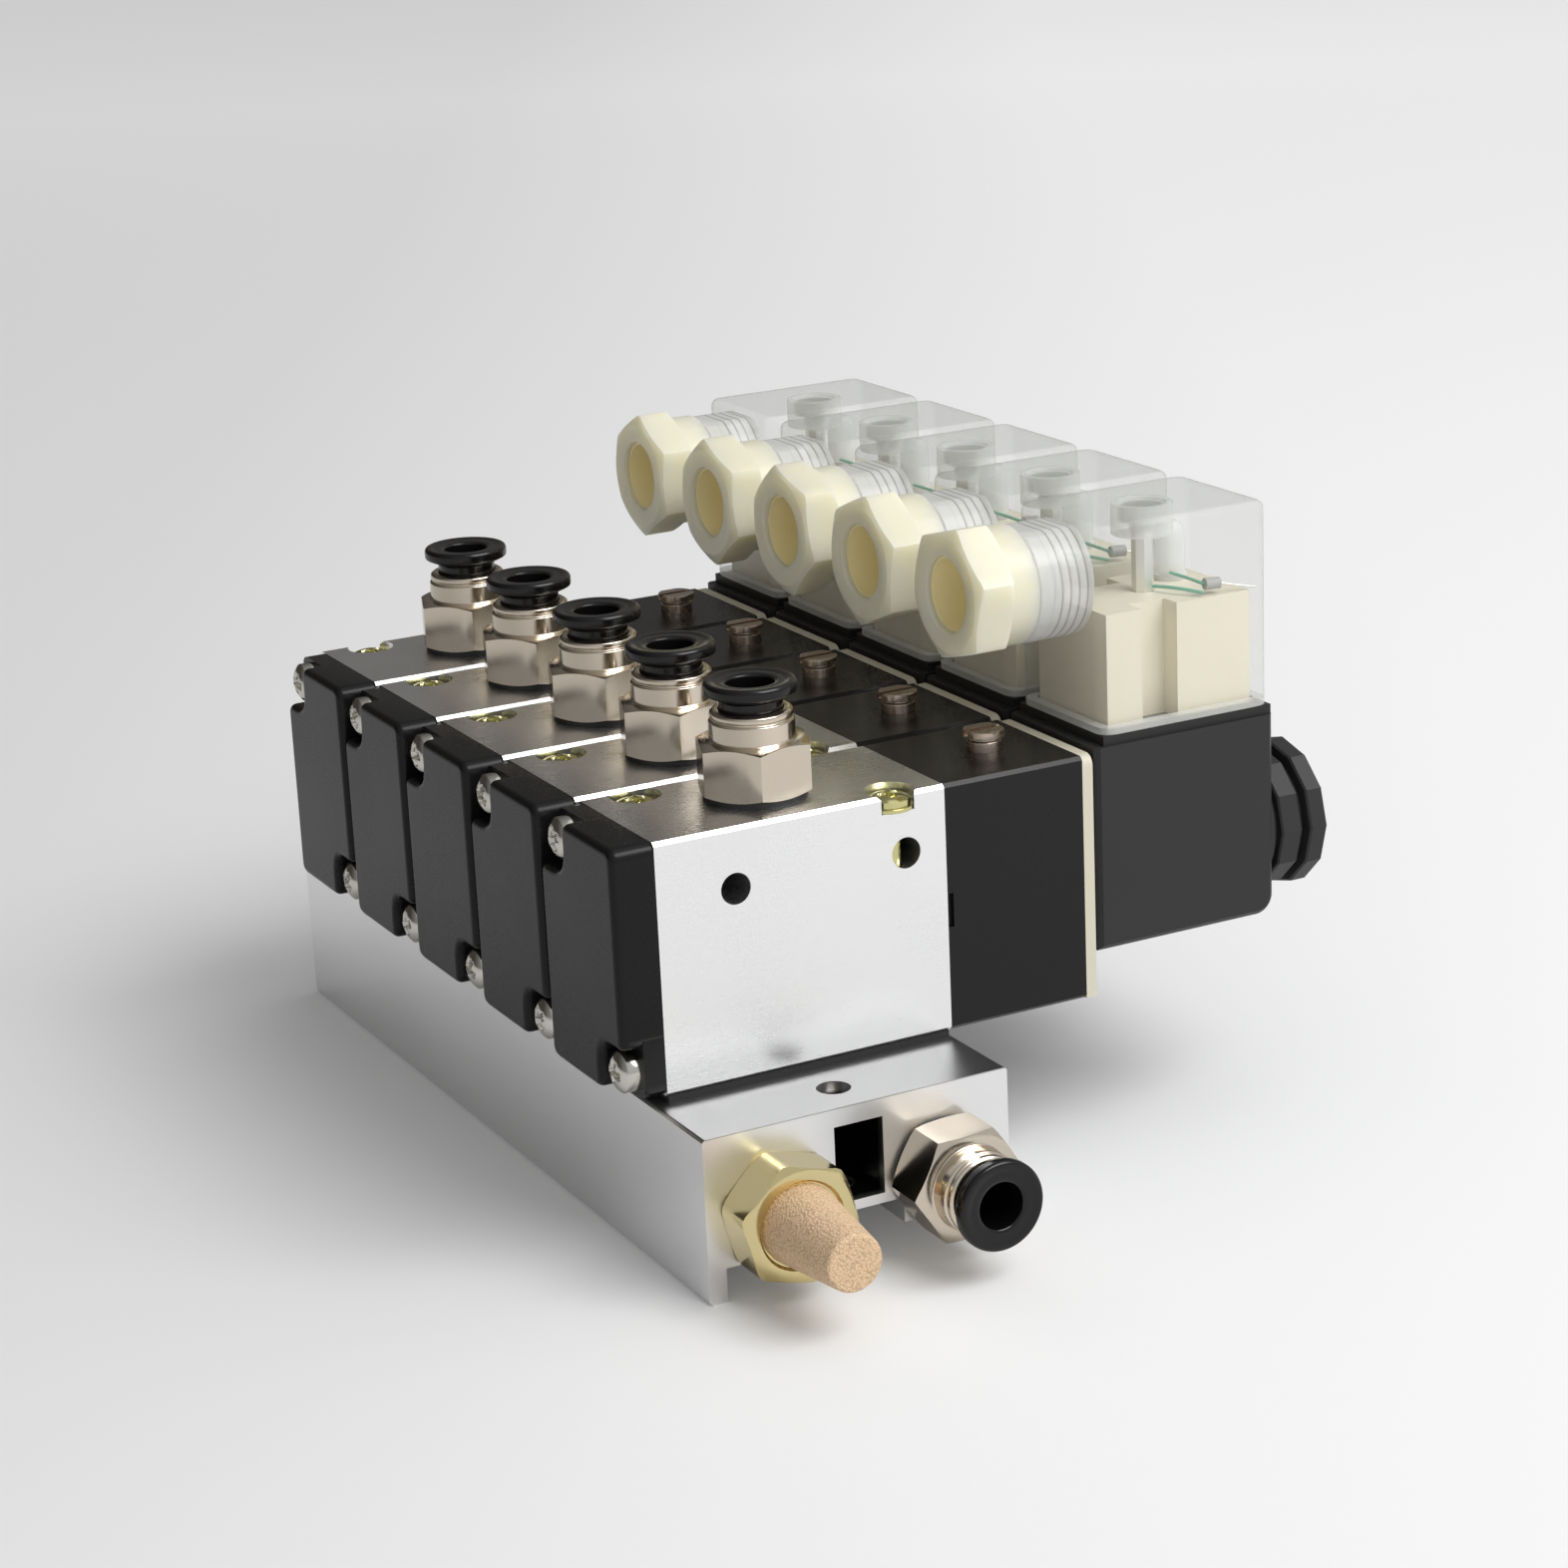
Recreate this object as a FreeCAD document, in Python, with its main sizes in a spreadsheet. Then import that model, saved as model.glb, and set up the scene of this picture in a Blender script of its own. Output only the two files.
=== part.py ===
import FreeCAD, Part
import math
import operator
import os
import Sketcher
from types import SimpleNamespace

# Pneumatic valve island: five 3/2 solenoid valves side by side on one extruded manifold.
# The manifold runs along Y. Each valve lies along X, with its end cap at -X and its coil at +X.
# The origin is midway between the two mounting holes, on the underside face where they open.

STATIONS = 5
NUT_FACETS = 12
THREAD_SIDES = 8
HEXAGON = 6
FITTING_TURN = 10
SUPPLY_TURN = 3
SILENCER_TURN = 45
GLAND_TURNS = (45, 38, 18, 23, 30)
SPRING_SEGMENTS = 6

# Driving dimensions in millimetres, one cell of the sheet each
SIZES = {
    # Row of valves on the manifold
    "valve_gap": 1.0,
    "near_margin": 13.0,
    "far_margin": 10.0,
    # Manifold section
    "manifold_margin": 2.3,
    "roof_thickness": 7.0,
    "leg_width": 2.5,
    "leg_height": 4.6,
    "edge_chamfer": 0.4,
    "window_width": 7.0,
    "window_top_wall": 2.55,
    "web_thickness": 1.35,
    "web_width": 12.4,
    "web_rise": 3.4,
    "channel_inset": 9.05,
    "channel_floor": 1.8,
    "channel_bore": 9.0,
    "port_depth": 12.0,
    "valve_port": 5.4,
    "mounting_hole": 4.5,
    "mounting_inset": 6.25,
    # Valve body
    "valve_gasket": 1.0,
    "gasket_inset": 0.3,
    "valve_width": 22.0,
    "body_length": 41.7,
    "body_offset": 0.65,
    "body_chamfer": 0.5,
    "axis_height": 16.6,
    "spool_roof": 2.7,
    "outlet_offset": 0.25,
    "side_hole": 4.2,
    "side_hole_left": 11.1,
    "side_hole_right": 5.9,
    "side_hole_drop": 8.1,
    # Spool and its bore
    "running_clearance": 0.05,
    "bore_diameter": 10.0,
    "chamber_drop": 6.2,
    "land_width": 2.2,
    "spool_stem": 5.0,
    "spool_stroke": 3.2,
    "stop_gap": 0.3,
    "exhaust_land": 3.3,
    "supply_land": 6.0,
    "spool_spring_wire": 0.8,
    # End cap
    "cap_thickness": 6.0,
    "cap_chamfer": 0.8,
    "cap_corner_round": 1.6,
    "pocket_width": 7.2,
    "pocket_height": 6.6,
    "pocket_depth": 3.0,
    "spring_cavity_step": 0.5,
    "spring_cavity_depth": 4.0,
    # Small screws
    "screw_shank": 2.8,
    "screw_clearance": 0.2,
    "thread_clearance": 0.05,
    "screw_head": 5.6,
    "screw_head_height": 2.1,
    "corner_screw_inset_side": 3.7,
    "corner_screw_inset_end": 3.3,
    "corner_screw_grip": 2.8,
    # Screws that hold the valve to the manifold
    "mount_screw_left": 7.0,
    "mount_screw_right": 6.9,
    "mount_screw_inset": 2.4,
    "counterbore_rim": 0.6,
    "counterbore_depth": 2.4,
    "mount_head_height": 2.0,
    "mount_screw_grip": 5.2,
    # Pilot body
    "pilot_length": 21.0,
    "pilot_orifice": 1.2,
    "vent_width": 0.9,
    "vent_height": 4.6,
    "vent_depth": 0.6,
    "pilot_screw_grip": 4.0,
    # Manual override button
    "button_offset": 12.6,
    "button_diameter": 5.6,
    "button_shank": 4.8,
    "button_head": 1.0,
    "button_travel": 1.5,
    "button_depth": 5.2,
    "button_slot": 0.9,
    "button_slot_depth": 0.7,
    "button_spring_length": 2.6,
    "button_spring_wire": 0.4,
    # Armature plate, tube and plunger
    "plate_thickness": 1.6,
    "plate_round": 1.5,
    "tube_diameter": 9.0,
    "tube_flange": 13.0,
    "tube_flange_thickness": 2.0,
    "tube_wall": 0.95,
    "plunger_seat": 4.0,
    "plunger_travel": 0.9,
    "plunger_gap": 0.1,
    "core_start": 23.5,
    "plunger_pocket": 4.0,
    "plunger_pocket_depth": 5.0,
    "plunger_spring_wire": 0.4,
    # Coil
    "coil_seal": 0.6,
    "coil_seal_width": 15.0,
    "coil_length": 28.4,
    "coil_height": 28.3,
    "coil_axis_height": 10.5,
    "coil_round": 2.6,
    "coil_chamfer": 0.7,
    "coil_fit": 0.1,
    # Coil nut
    "nut_margin": 2.0,
    "nut_flange_step": 0.5,
    "nut_flange_thickness": 1.4,
    "nut_inner_step": 0.6,
    "nut_inner_ring_width": 3.4,
    "nut_outer_ring_width": 2.8,
    "nut_groove_step": 1.6,
    "nut_groove_width": 0.9,
    # Plug connector on the coil
    "connector_gasket": 1.3,
    "connector_inset": 1.5,
    "connector_setback": 0.2,
    "connector_side": 0.5,
    "connector_wall": 1.6,
    "connector_round": 2.4,
    "connector_chamfer": 1.0,
    "gasket_rim": 3.0,
    "stub_wall": 1.65,
    "stub_length": 7.6,
    "stub_drop": 8.2,
    "stub_flat": 0.8,
    "gland_thread": 12.6,
    "insert_height": 15.8,
    "insert_gap": 0.4,
    "insert_slot_width": 5.6,
    "insert_slot_depth": 3.2,
    "insert_slot_start": 5.5,
    "insert_pocket_depth": 9.0,
    "insert_wall": 1.5,
    "pin_width": 6.3,
    "pin_thickness": 0.8,
    "pin_height": 8.0,
    "pin_spacing": 14.0,
    "lamp_diameter": 5.0,
    "lamp_height": 8.0,
    "lamp_room": 2.7,
    "lamp_offset": 6.6,
    "lamp_side": 3.6,
    "post_wall": 1.0,
    "post_height": 4.4,
    "recess_depth": 2.6,
    "recess_rim": 0.4,
    # Cable gland nut
    "gland_flats": 16.4,
    "gland_length": 9.8,
    "gland_collar_length": 4.2,
    "gland_bore": 9.0,
    "gland_shank_length": 5.0,
    # Push-in fittings
    "port_seal": 0.7,
    "port_seal_diameter": 13.6,
    "fitting_flats": 14.0,
    "fitting_hex_height": 7.0,
    "fitting_wall": 1.2,
    "fitting_neck_height": 4.0,
    "mouth_wall": 0.65,
    "fitting_taper": 0.7,
    "fitting_thread_length": 9.5,
    "collar_sleeve": 8.4,
    "collar_sleeve_depth": 7.4,
    "collar_disc": 12.2,
    "collar_disc_thickness": 1.5,
    "collar_flare": 0.7,
    "collar_travel": 1.2,
    "tube_bore": 6.2,
    # Silencer and plugs
    "silencer_flats": 15.0,
    "silencer_hex_height": 6.5,
    "silencer_bore": 8.0,
    "cone_base": 10.8,
    "cone_tip": 7.6,
    "cone_length": 13.4,
    "cone_wall": 1.8,
    "cone_spigot": 4.0,
    "cone_round": 0.5,
    "plug_length": 8.0,
    "plug_recess": 0.6,
    "plug_socket": 5.0,
    "plug_socket_depth": 4.0,
}


class Size:
    """A length: its value in millimetres, and the sheet formula that gives it."""

    def __init__(self, value, formula):
        self.value = value
        self.formula = formula

    def __add__(self, other):
        return combine(self, "+", other)

    def __radd__(self, other):
        return combine(other, "+", self)

    def __sub__(self, other):
        return combine(self, "-", other)

    def __rsub__(self, other):
        return combine(other, "-", self)

    def __mul__(self, other):
        return combine(self, "*", other)

    def __rmul__(self, other):
        return combine(other, "*", self)

    def __truediv__(self, other):
        return combine(self, "/", other)

    def __neg__(self):
        return combine(0, "-", self)


OPERATIONS = {"+": operator.add, "-": operator.sub, "*": operator.mul, "/": operator.truediv}


def as_size(thing):
    """A plain number as a Size, and a Size as it is."""
    if isinstance(thing, Size):
        return thing
    return Size(float(thing), "(%r)" % float(thing))


def combine(left, sign, right):
    """The Size that an operation on two lengths gives."""
    left = as_size(left)
    right = as_size(right)
    value = OPERATIONS[sign](left.value, right.value)
    return Size(value, "(%s %s %s)" % (left.formula, sign, right.formula))


doc = FreeCAD.newDocument("valve_island")
sheet = doc.addObject("Spreadsheet::Sheet", "dims")
for row, (name, number) in enumerate(SIZES.items(), start=1):
    sheet.set("A%d" % row, name)
    sheet.set("B%d" % row, str(number))
    sheet.setAlias("B%d" % row, name)
doc.recompute()
d = SimpleNamespace(**{name: Size(number, "dims." + name) for name, number in SIZES.items()})

# Sizes and places that several pieces share, worked out from the driving dimensions
pitch = d.valve_width + d.valve_gap
row_length = pitch * (STATIONS - 1)
manifold_length = row_length + d.valve_width + d.near_margin + d.far_margin
manifold_width = d.body_length + d.manifold_margin
near_end = -manifold_length / 2
far_end = manifold_length / 2
first_station = near_end + d.near_margin + d.valve_width / 2
station_y = [first_station + pitch * station for station in range(STATIONS)]
channel_x = d.body_length / 2 - d.channel_inset
block_bottom = -d.web_rise
foot_bottom = block_bottom - d.leg_height
channel_z = block_bottom + d.channel_floor + d.channel_bore / 2
manifold_top = channel_z + d.channel_bore / 2 + d.roof_thickness
sleeve_hole = d.collar_sleeve + 2 * d.running_clearance
port_thread = sleeve_hole + 2 * d.fitting_wall
port_bore = port_thread + 2 * d.thread_clearance
valve_bottom = manifold_top + d.valve_gasket
axis_z = valve_bottom + d.axis_height
valve_top = axis_z + d.bore_diameter / 2 + d.spool_roof + d.fitting_thread_length
valve_height = valve_top - valve_bottom
body_left = d.body_offset - d.body_length / 2
body_right = d.body_offset + d.body_length / 2
spring_cavity = d.bore_diameter - d.spring_cavity_step
cap_left = body_left - d.cap_thickness
cap_flange = cap_left + d.pocket_depth
pilot_right = body_right + d.pilot_length
plate_right = pilot_right + d.plate_thickness
coil_left = plate_right + d.coil_seal
coil_right = coil_left + d.coil_length
coil_bottom = axis_z - d.coil_axis_height
coil_top = coil_bottom + d.coil_height
button_x = body_right + d.button_offset
connector_left = coil_left + d.connector_inset
connector_right = coil_right - d.connector_setback
connector_middle = (connector_left + connector_right) / 2
connector_half = d.valve_width / 2 - d.connector_side
connector_bottom = coil_top + d.connector_gasket
insert_top = connector_bottom + d.insert_height
connector_top = insert_top + d.lamp_height + d.lamp_room + d.connector_wall
stub_diameter = d.gland_thread + 2 * d.stub_wall + 2 * d.thread_clearance
gland_z = connector_top - d.stub_drop
stub_left = connector_left - d.stub_length
screw_hole = d.screw_shank + d.screw_clearance
tapped_hole = d.screw_shank + d.thread_clearance
counterbore = d.screw_head + 2 * d.counterbore_rim
counterbore_floor = valve_top - d.counterbore_depth
tube_inside = d.tube_diameter - 2 * d.tube_wall
plunger_diameter = tube_inside - 2 * d.running_clearance
plunger_left = pilot_right - d.plunger_seat
core_left = pilot_right + d.core_start
plunger_right = core_left - d.plunger_travel - d.plunger_gap
nut_width = d.nut_flange_thickness + d.nut_inner_ring_width + d.nut_outer_ring_width + 2 * d.nut_groove_width
nut_diameter = d.valve_width - d.nut_margin
tube_right = coil_right + nut_width
spool_left = body_left + d.spool_stroke + d.stop_gap
spool_right = body_right - d.stop_gap
cavity_left = body_left - d.spring_cavity_depth
button_top = valve_top + d.button_travel + d.stop_gap + d.button_head
button_bottom = valve_top - d.button_depth
button_well = button_bottom - d.button_spring_length

# The two corner screws of a cap or pilot body, as their places from the valve's centre line
corner_side = d.valve_width / 2 - d.corner_screw_inset_side
corner_screws = [
    (corner_side, valve_top - d.corner_screw_inset_end),
    (-corner_side, valve_bottom + d.corner_screw_inset_end),
]
# The two screws that hold a valve to the manifold, as (x, distance from the centre line)
mount_side = d.valve_width / 2 - d.mount_screw_inset
mount_screws = [
    (body_left + d.mount_screw_left, mount_side),
    (body_right - d.mount_screw_right, -mount_side),
]

# The origin plane across each axis, and the way its normal points along that axis
ACROSS = {"X": ("YZ_Plane", 1), "Y": ("XZ_Plane", -1), "Z": ("XY_Plane", 1)}
# The axis that the sketch of a turned piece is drawn across, and the sketch's own turning axis
TURNED = {"X": ("Y", "H_Axis"), "Y": ("X", "H_Axis"), "Z": ("Y", "V_Axis")}


def bind(thing, path, size):
    """Ties one property of a document object to the sheet."""
    thing.setExpression(path, as_size(size).formula)


def settle(feature):
    """Recomputes the document and stops at a feature that failed."""
    doc.recompute()
    if "Invalid" in feature.State or "Error" in feature.State:
        raise RuntimeError("%s failed: %s" % (feature.Label, feature.State))


class Section:
    """A sketch on one of a body's origin planes, moved along the axis that the plane lies across."""

    def __init__(self, body, axis, at, centre=(0, 0)):
        role, self.normal = ACROSS[axis]
        plane = next(item for item in body.Origin.OriginFeatures if item.Role == role)
        self.sketch = body.newObject("Sketcher::SketchObject", body.Label + "_sketch")
        self.sketch.AttachmentSupport = [(plane, "")]
        self.sketch.MapMode = "FlatFace"
        bind(self.sketch, "AttachmentOffset.Base.x", centre[0])
        bind(self.sketch, "AttachmentOffset.Base.y", centre[1])
        bind(self.sketch, "AttachmentOffset.Base.z", at * self.normal)

    def place(self, item, point, across, up):
        """Holds one point of the sketch at its distances from the sketch's origin."""
        for kind, size in (("DistanceX", across), ("DistanceY", up)):
            distance = Sketcher.Constraint(kind, -1, 1, item, point, as_size(size).value)
            bind(self.sketch, "Constraints[%d]" % self.sketch.addConstraint(distance), size)

    def outline(self, corners):
        """Draws a closed outline of straight lines through its corners."""
        start = self.sketch.GeometryCount
        count = len(corners)
        points = [FreeCAD.Vector(as_size(u).value, as_size(v).value, 0) for u, v in corners]
        for index, point in enumerate(points):
            self.sketch.addGeometry(Part.LineSegment(point, points[(index + 1) % count]), False)
        for index, (u, v) in enumerate(corners):
            follower = start + (index + 1) % count
            self.sketch.addConstraint(Sketcher.Constraint("Coincident", start + index, 2, follower, 1))
            self.place(start + index, 1, u, v)
        return self

    def rectangle(self, low, high):
        """Draws a rectangle from its lowest corner to its highest."""
        return self.outline([low, (high[0], low[1]), high, (low[0], high[1])])

    def polygon(self, sides, flats, turn=0.0, centre=(0, 0)):
        """Draws a regular polygon from the distance across its flats, turned by an angle in degrees."""
        radius = flats / (2 * math.cos(math.pi / sides))
        angles = [math.radians(turn) + 2 * math.pi * corner / sides for corner in range(sides)]
        corners = [(centre[0] + radius * math.cos(a), centre[1] + radius * math.sin(a)) for a in angles]
        return self.outline(corners)

    def square(self, width, centre=(0, 0)):
        """Draws a square by its width and its centre."""
        low = (centre[0] - width / 2, centre[1] - width / 2)
        return self.rectangle(low, (centre[0] + width / 2, centre[1] + width / 2))

    def thread(self, width, centre=(0, 0)):
        """Draws the plain section that stands for a small thread, from the distance across its flats."""
        return self.polygon(THREAD_SIDES, width, 180 / THREAD_SIDES, centre)

    def circle(self, diameter, centre=(0, 0)):
        """Draws a circle of the given diameter."""
        middle = FreeCAD.Vector(as_size(centre[0]).value, as_size(centre[1]).value, 0)
        radius = as_size(diameter).value / 2
        item = self.sketch.addGeometry(Part.Circle(middle, FreeCAD.Vector(0, 0, 1), radius), False)
        self.place(item, 3, *centre)
        across = Sketcher.Constraint("Diameter", item, 2 * radius)
        bind(self.sketch, "Constraints[%d]" % self.sketch.addConstraint(across), diameter)
        return self


class Piece:
    """One sub-part of the island: a body, or a group of like solids in one body."""

    made = []

    def __init__(self, label, group=False):
        self.body = doc.addObject("PartDesign::Body", label)
        self.body.Label = label
        self.body.AllowCompound = group
        self.made.append(self.body)

    def section(self, axis, at, centre=(0, 0)):
        return Section(self.body, axis, at, centre)

    def add(self, kind, **settings):
        """Adds one feature to the body and makes it the tip."""
        feature = self.body.newObject("PartDesign::" + kind, self.body.Label + "_" + kind.lower())
        for name, value in settings.items():
            setattr(feature, name, value)
        return feature

    def keep(self, feature, removes=False):
        """Settles a feature, and makes sure that one meant to cut has cut."""
        before = self.body.Shape.Volume if removes else 0
        self.body.Tip = feature
        settle(feature)
        if removes and not feature.Shape.Volume < before - 1e-6:
            raise RuntimeError("%s cut nothing from %s" % (feature.Label, self.body.Label))
        return self

    def pad(self, section, length, towards=1):
        """Raises a section along its axis."""
        feature = self.add("Pad", Profile=section.sketch, Reversed=towards != section.normal)
        bind(feature, "Length", length)
        return self.keep(feature)

    def pocket(self, section, depth, towards=1):
        """Cuts a section out along its axis."""
        feature = self.add("Pocket", Profile=section.sketch, Reversed=towards == section.normal)
        bind(feature, "Length", depth)
        return self.keep(feature, removes=True)

    def drill(self, axis, start, centre, diameter, depth, towards=1):
        """Cuts a round hole along an axis from the plane where it starts."""
        hole = self.section(axis, start, centre).circle(diameter)
        return self.pocket(hole, depth, towards)

    def turned_section(self, axis, centre, profile, towards):
        """Draws half the section of a turned form, from (distance along, radius) points."""
        x, y, z = centre
        across, turning = TURNED[axis]
        at, origin = (y, (x, z)) if across == "Y" else (x, (y, z))
        corners = [(along * towards, radius) for along, radius in profile]
        if turning == "V_Axis":
            corners = [(radius, along) for along, radius in corners]
        return self.section(across, at, origin).outline(corners), turning

    def turn(self, axis, centre, profile, towards=1):
        """Adds a turned form."""
        half, turning = self.turned_section(axis, centre, profile, towards)
        feature = self.add("Revolution", Profile=half.sketch)
        feature.ReferenceAxis = (half.sketch, [turning])
        feature.Angle = 360
        return self.keep(feature)

    def groove(self, axis, centre, profile, towards=1):
        """Cuts a turned form away."""
        half, turning = self.turned_section(axis, centre, profile, towards)
        feature = self.add("Groove", Profile=half.sketch)
        feature.ReferenceAxis = (half.sketch, [turning])
        feature.Angle = 360
        return self.keep(feature, removes=True)

    def edges(self, wanted):
        """Names the edges of the body for which a test on the edge is true."""
        shape = self.body.Shape
        return ["Edge%d" % (index + 1) for index, edge in enumerate(shape.Edges) if wanted(edge)]

    def round_edges(self, radius, wanted):
        """Rounds the edges that a test picks."""
        feature = self.add("Fillet", Base=(self.body.Tip, self.edges(wanted)))
        bind(feature, "Radius", radius)
        return self.keep(feature)

    def bevel_edges(self, size, wanted):
        """Chamfers the edges that a test picks."""
        feature = self.add("Chamfer", Base=(self.body.Tip, self.edges(wanted)))
        bind(feature, "Size", size)
        return self.keep(feature)

    def repeat_in_row(self):
        """Repeats the whole shape at every station."""
        along = next(item for item in self.body.Origin.OriginFeatures if item.Role == "Y_Axis")
        feature = self.add("LinearPattern", TransformMode="Whole shape", Direction=(along, [""]))
        feature.Occurrences = STATIONS
        bind(feature, "Length", row_length)
        return self.keep(feature)


def near(number, *sizes):
    """True where a coordinate is one of the given places."""
    return any(abs(number - as_size(size).value) < 1e-4 for size in sizes)


def runs_along(axis, first, second):
    """A test for straight edges along an axis whose other two coordinates are among those given."""
    index = "XYZ".index(axis)
    others = [(i, places) for i, places in zip([k for k in range(3) if k != index], (first, second))]

    def wanted(edge):
        if not isinstance(edge.Curve, Part.Line) or abs(edge.Curve.Direction[index]) < 0.999:
            return False
        return all(near(edge.CenterOfMass[i], *places) for i, places in others)

    return wanted


def make_manifold():
    """The extruded manifold: two channels, a window between them, and a leg along each side."""
    half = manifold_width / 2
    foot = half - d.leg_width
    web = d.web_width / 2
    window = d.window_width / 2
    top = manifold_top
    piece = Piece("manifold")
    profile = piece.section("Y", near_end)
    right = [(web, 0), (web, block_bottom), (foot, block_bottom), (foot, foot_bottom), (half, foot_bottom)]
    left = [(-u, v) for u, v in reversed(right)]
    profile.outline(right + [(half, top), (-half, top)] + left)
    profile.rectangle((-window, d.web_thickness), (window, top - d.window_top_wall))
    for side in (-1, 1):
        profile.circle(d.channel_bore, (side * channel_x, channel_z))
    piece.pad(profile, manifold_length)
    piece.bevel_edges(d.edge_chamfer, runs_along("Y", (-half, half), (foot_bottom, top)))
    for side in (-1, 1):
        centre = (side * channel_x, channel_z)
        piece.drill("Y", near_end, centre, port_bore, d.port_depth, 1)
        piece.drill("Y", far_end, centre, port_bore, d.port_depth, -1)
    holes = piece.section("Z", top)
    for y in (near_end + d.mounting_inset, far_end - d.mounting_inset):
        holes.circle(d.mounting_hole, (0, y))
    piece.pocket(holes, top, -1)
    ports = piece.section("Z", top)
    threads = piece.section("Z", top)
    for y in station_y:
        for side in (-1, 1):
            ports.square(d.valve_port, (side * channel_x, y))
        for x, aside in mount_screws:
            threads.thread(tapped_hole, (x, y + aside))
    piece.pocket(ports, top - channel_z, -1)
    piece.pocket(threads, d.mount_screw_grip + d.stop_gap, -1)


def make_valve_gaskets():
    """The flat gaskets between the manifold and the valves."""
    y = first_station
    side = d.valve_width / 2 - d.gasket_inset
    piece = Piece("valve_gaskets", group=True)
    flat = piece.section("Z", manifold_top)
    flat.rectangle((body_left + d.gasket_inset, y - side), (body_right - d.gasket_inset, y + side))
    for x in (-channel_x, channel_x):
        flat.square(d.valve_port, (x, y))
    for x, aside in mount_screws:
        flat.thread(screw_hole, (x, y + aside))
    piece.pad(flat, d.valve_gasket)
    piece.repeat_in_row()


def make_valve_body(number, y):
    """One valve body: spool bore along X, outlet on top, supply and exhaust below, screws at two corners."""
    side = d.valve_width / 2
    piece = Piece("valve_body_%d" % number)
    block = piece.section("X", body_left).rectangle((y - side, valve_bottom), (y + side, valve_top))
    piece.pad(block, d.body_length)
    piece.bevel_edges(d.body_chamfer, runs_along("X", (y - side, y + side), (valve_bottom, valve_top)))
    piece.drill("X", body_left, (y, axis_z), d.bore_diameter, d.body_length)
    outlet_depth = valve_top - axis_z + d.chamber_drop
    piece.drill("Z", valve_top, (-d.outlet_offset, y), port_bore, outlet_depth, -1)
    ports = piece.section("Z", valve_bottom)
    for x in (-channel_x, channel_x):
        ports.square(d.valve_port, (x, y))
    piece.pocket(ports, d.axis_height)
    holes = piece.section("Y", y - side)
    for x in (body_left + d.side_hole_left, body_right - d.side_hole_right):
        holes.circle(d.side_hole, (x, valve_top - d.side_hole_drop))
    piece.pocket(holes, d.valve_width)
    seats = piece.section("Z", valve_top)
    shanks = piece.section("Z", valve_top)
    for x, aside in mount_screws:
        seats.circle(counterbore, (x, y + aside))
        shanks.thread(screw_hole, (x, y + aside))
    piece.pocket(seats, d.counterbore_depth, -1)
    piece.pocket(shanks, valve_height, -1)
    for start, grip, towards in ((body_left, d.corner_screw_grip, 1), (body_right, d.pilot_screw_grip, -1)):
        threads = piece.section("X", start)
        for aside, z in corner_screws:
            threads.thread(tapped_hole, (y + aside, z))
        piece.pocket(threads, grip, towards)


def make_spool(number, y):
    """One spool: a stem with four lands, two of which open and close the outlet."""
    bore = d.bore_diameter - 2 * d.running_clearance
    land = bore / 2
    stem = d.spool_stem / 2
    right_land = spool_right - d.land_width / 2
    left_land = spool_left + d.land_width / 2
    upper = []
    for middle in (left_land, -d.exhaust_land, d.supply_land, right_land):
        low = middle - d.land_width / 2
        high = middle + d.land_width / 2
        upper += [(low, stem), (low, land), (high, land), (high, stem)]
    upper = [(spool_left, 0)] + upper[1:-1] + [(spool_right, 0)]
    piece = Piece("spool_%d" % number)
    piece.turn("X", (0, y, axis_z), upper)


def make_end_caps():
    """The end caps, each with two pockets for its screws and a cavity for the spool spring."""
    y = first_station
    side = d.valve_width / 2
    piece = Piece("end_caps", group=True)
    block = piece.section("X", cap_left).rectangle((y - side, valve_bottom), (y + side, valve_top))
    piece.pad(block, d.cap_thickness)
    near_top = runs_along("X", (y - side,), (valve_top,))
    far_bottom = runs_along("X", (y + side,), (valve_bottom,))
    piece.round_edges(d.cap_corner_round, lambda edge: near_top(edge) or far_bottom(edge))
    piece.bevel_edges(d.cap_chamfer, lambda edge: near(edge.CenterOfMass.x, cap_left))
    top_pocket = piece.section("X", cap_left)
    top_pocket.rectangle((y + side - d.pocket_width, valve_top - d.pocket_height), (y + side, valve_top))
    piece.pocket(top_pocket, d.pocket_depth)
    low_pocket = piece.section("X", cap_left)
    low_pocket.rectangle((y - side, valve_bottom), (y - side + d.pocket_width, valve_bottom + d.pocket_height))
    piece.pocket(low_pocket, d.pocket_depth)
    piece.drill("X", body_left, (y, axis_z), spring_cavity, d.spring_cavity_depth, -1)
    holes = piece.section("X", cap_left)
    for aside, z in corner_screws:
        holes.thread(screw_hole, (y + aside, z))
    piece.pocket(holes, d.cap_thickness)
    piece.repeat_in_row()


def headed_screw(piece, axis, seat, head_height, length, towards, hidden=False):
    """A screw seated at a point: its head stands behind the seat, and its shank runs on from it."""
    x, y, z = seat
    at, centre = (x, (y, z)) if axis == "X" else (z, (x, y))
    head = piece.section(axis, at, centre)
    if hidden:
        head.thread(d.screw_head)
    else:
        head.circle(d.screw_head)
    piece.pad(head, head_height, -towards)
    piece.pad(piece.section(axis, at, centre).thread(d.screw_shank), length, towards)


def make_cap_screws():
    """The screws of the end caps, their heads in the caps' pockets."""
    piece = Piece("cap_screws", group=True)
    length = body_left + d.corner_screw_grip - cap_flange
    for aside, z in corner_screws:
        headed_screw(piece, "X", (cap_flange, first_station + aside, z), d.screw_head_height, length, 1)
    piece.repeat_in_row()


def make_mount_screws():
    """The screws that hold the valves to the manifold, their heads in the counterbores."""
    length = counterbore_floor - manifold_top + d.mount_screw_grip
    piece = Piece("valve_mount_screws", group=True)
    for x, aside in mount_screws:
        seat = (x, first_station + aside, counterbore_floor)
        headed_screw(piece, "Z", seat, d.mount_head_height, length, -1)
    piece.repeat_in_row()


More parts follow.
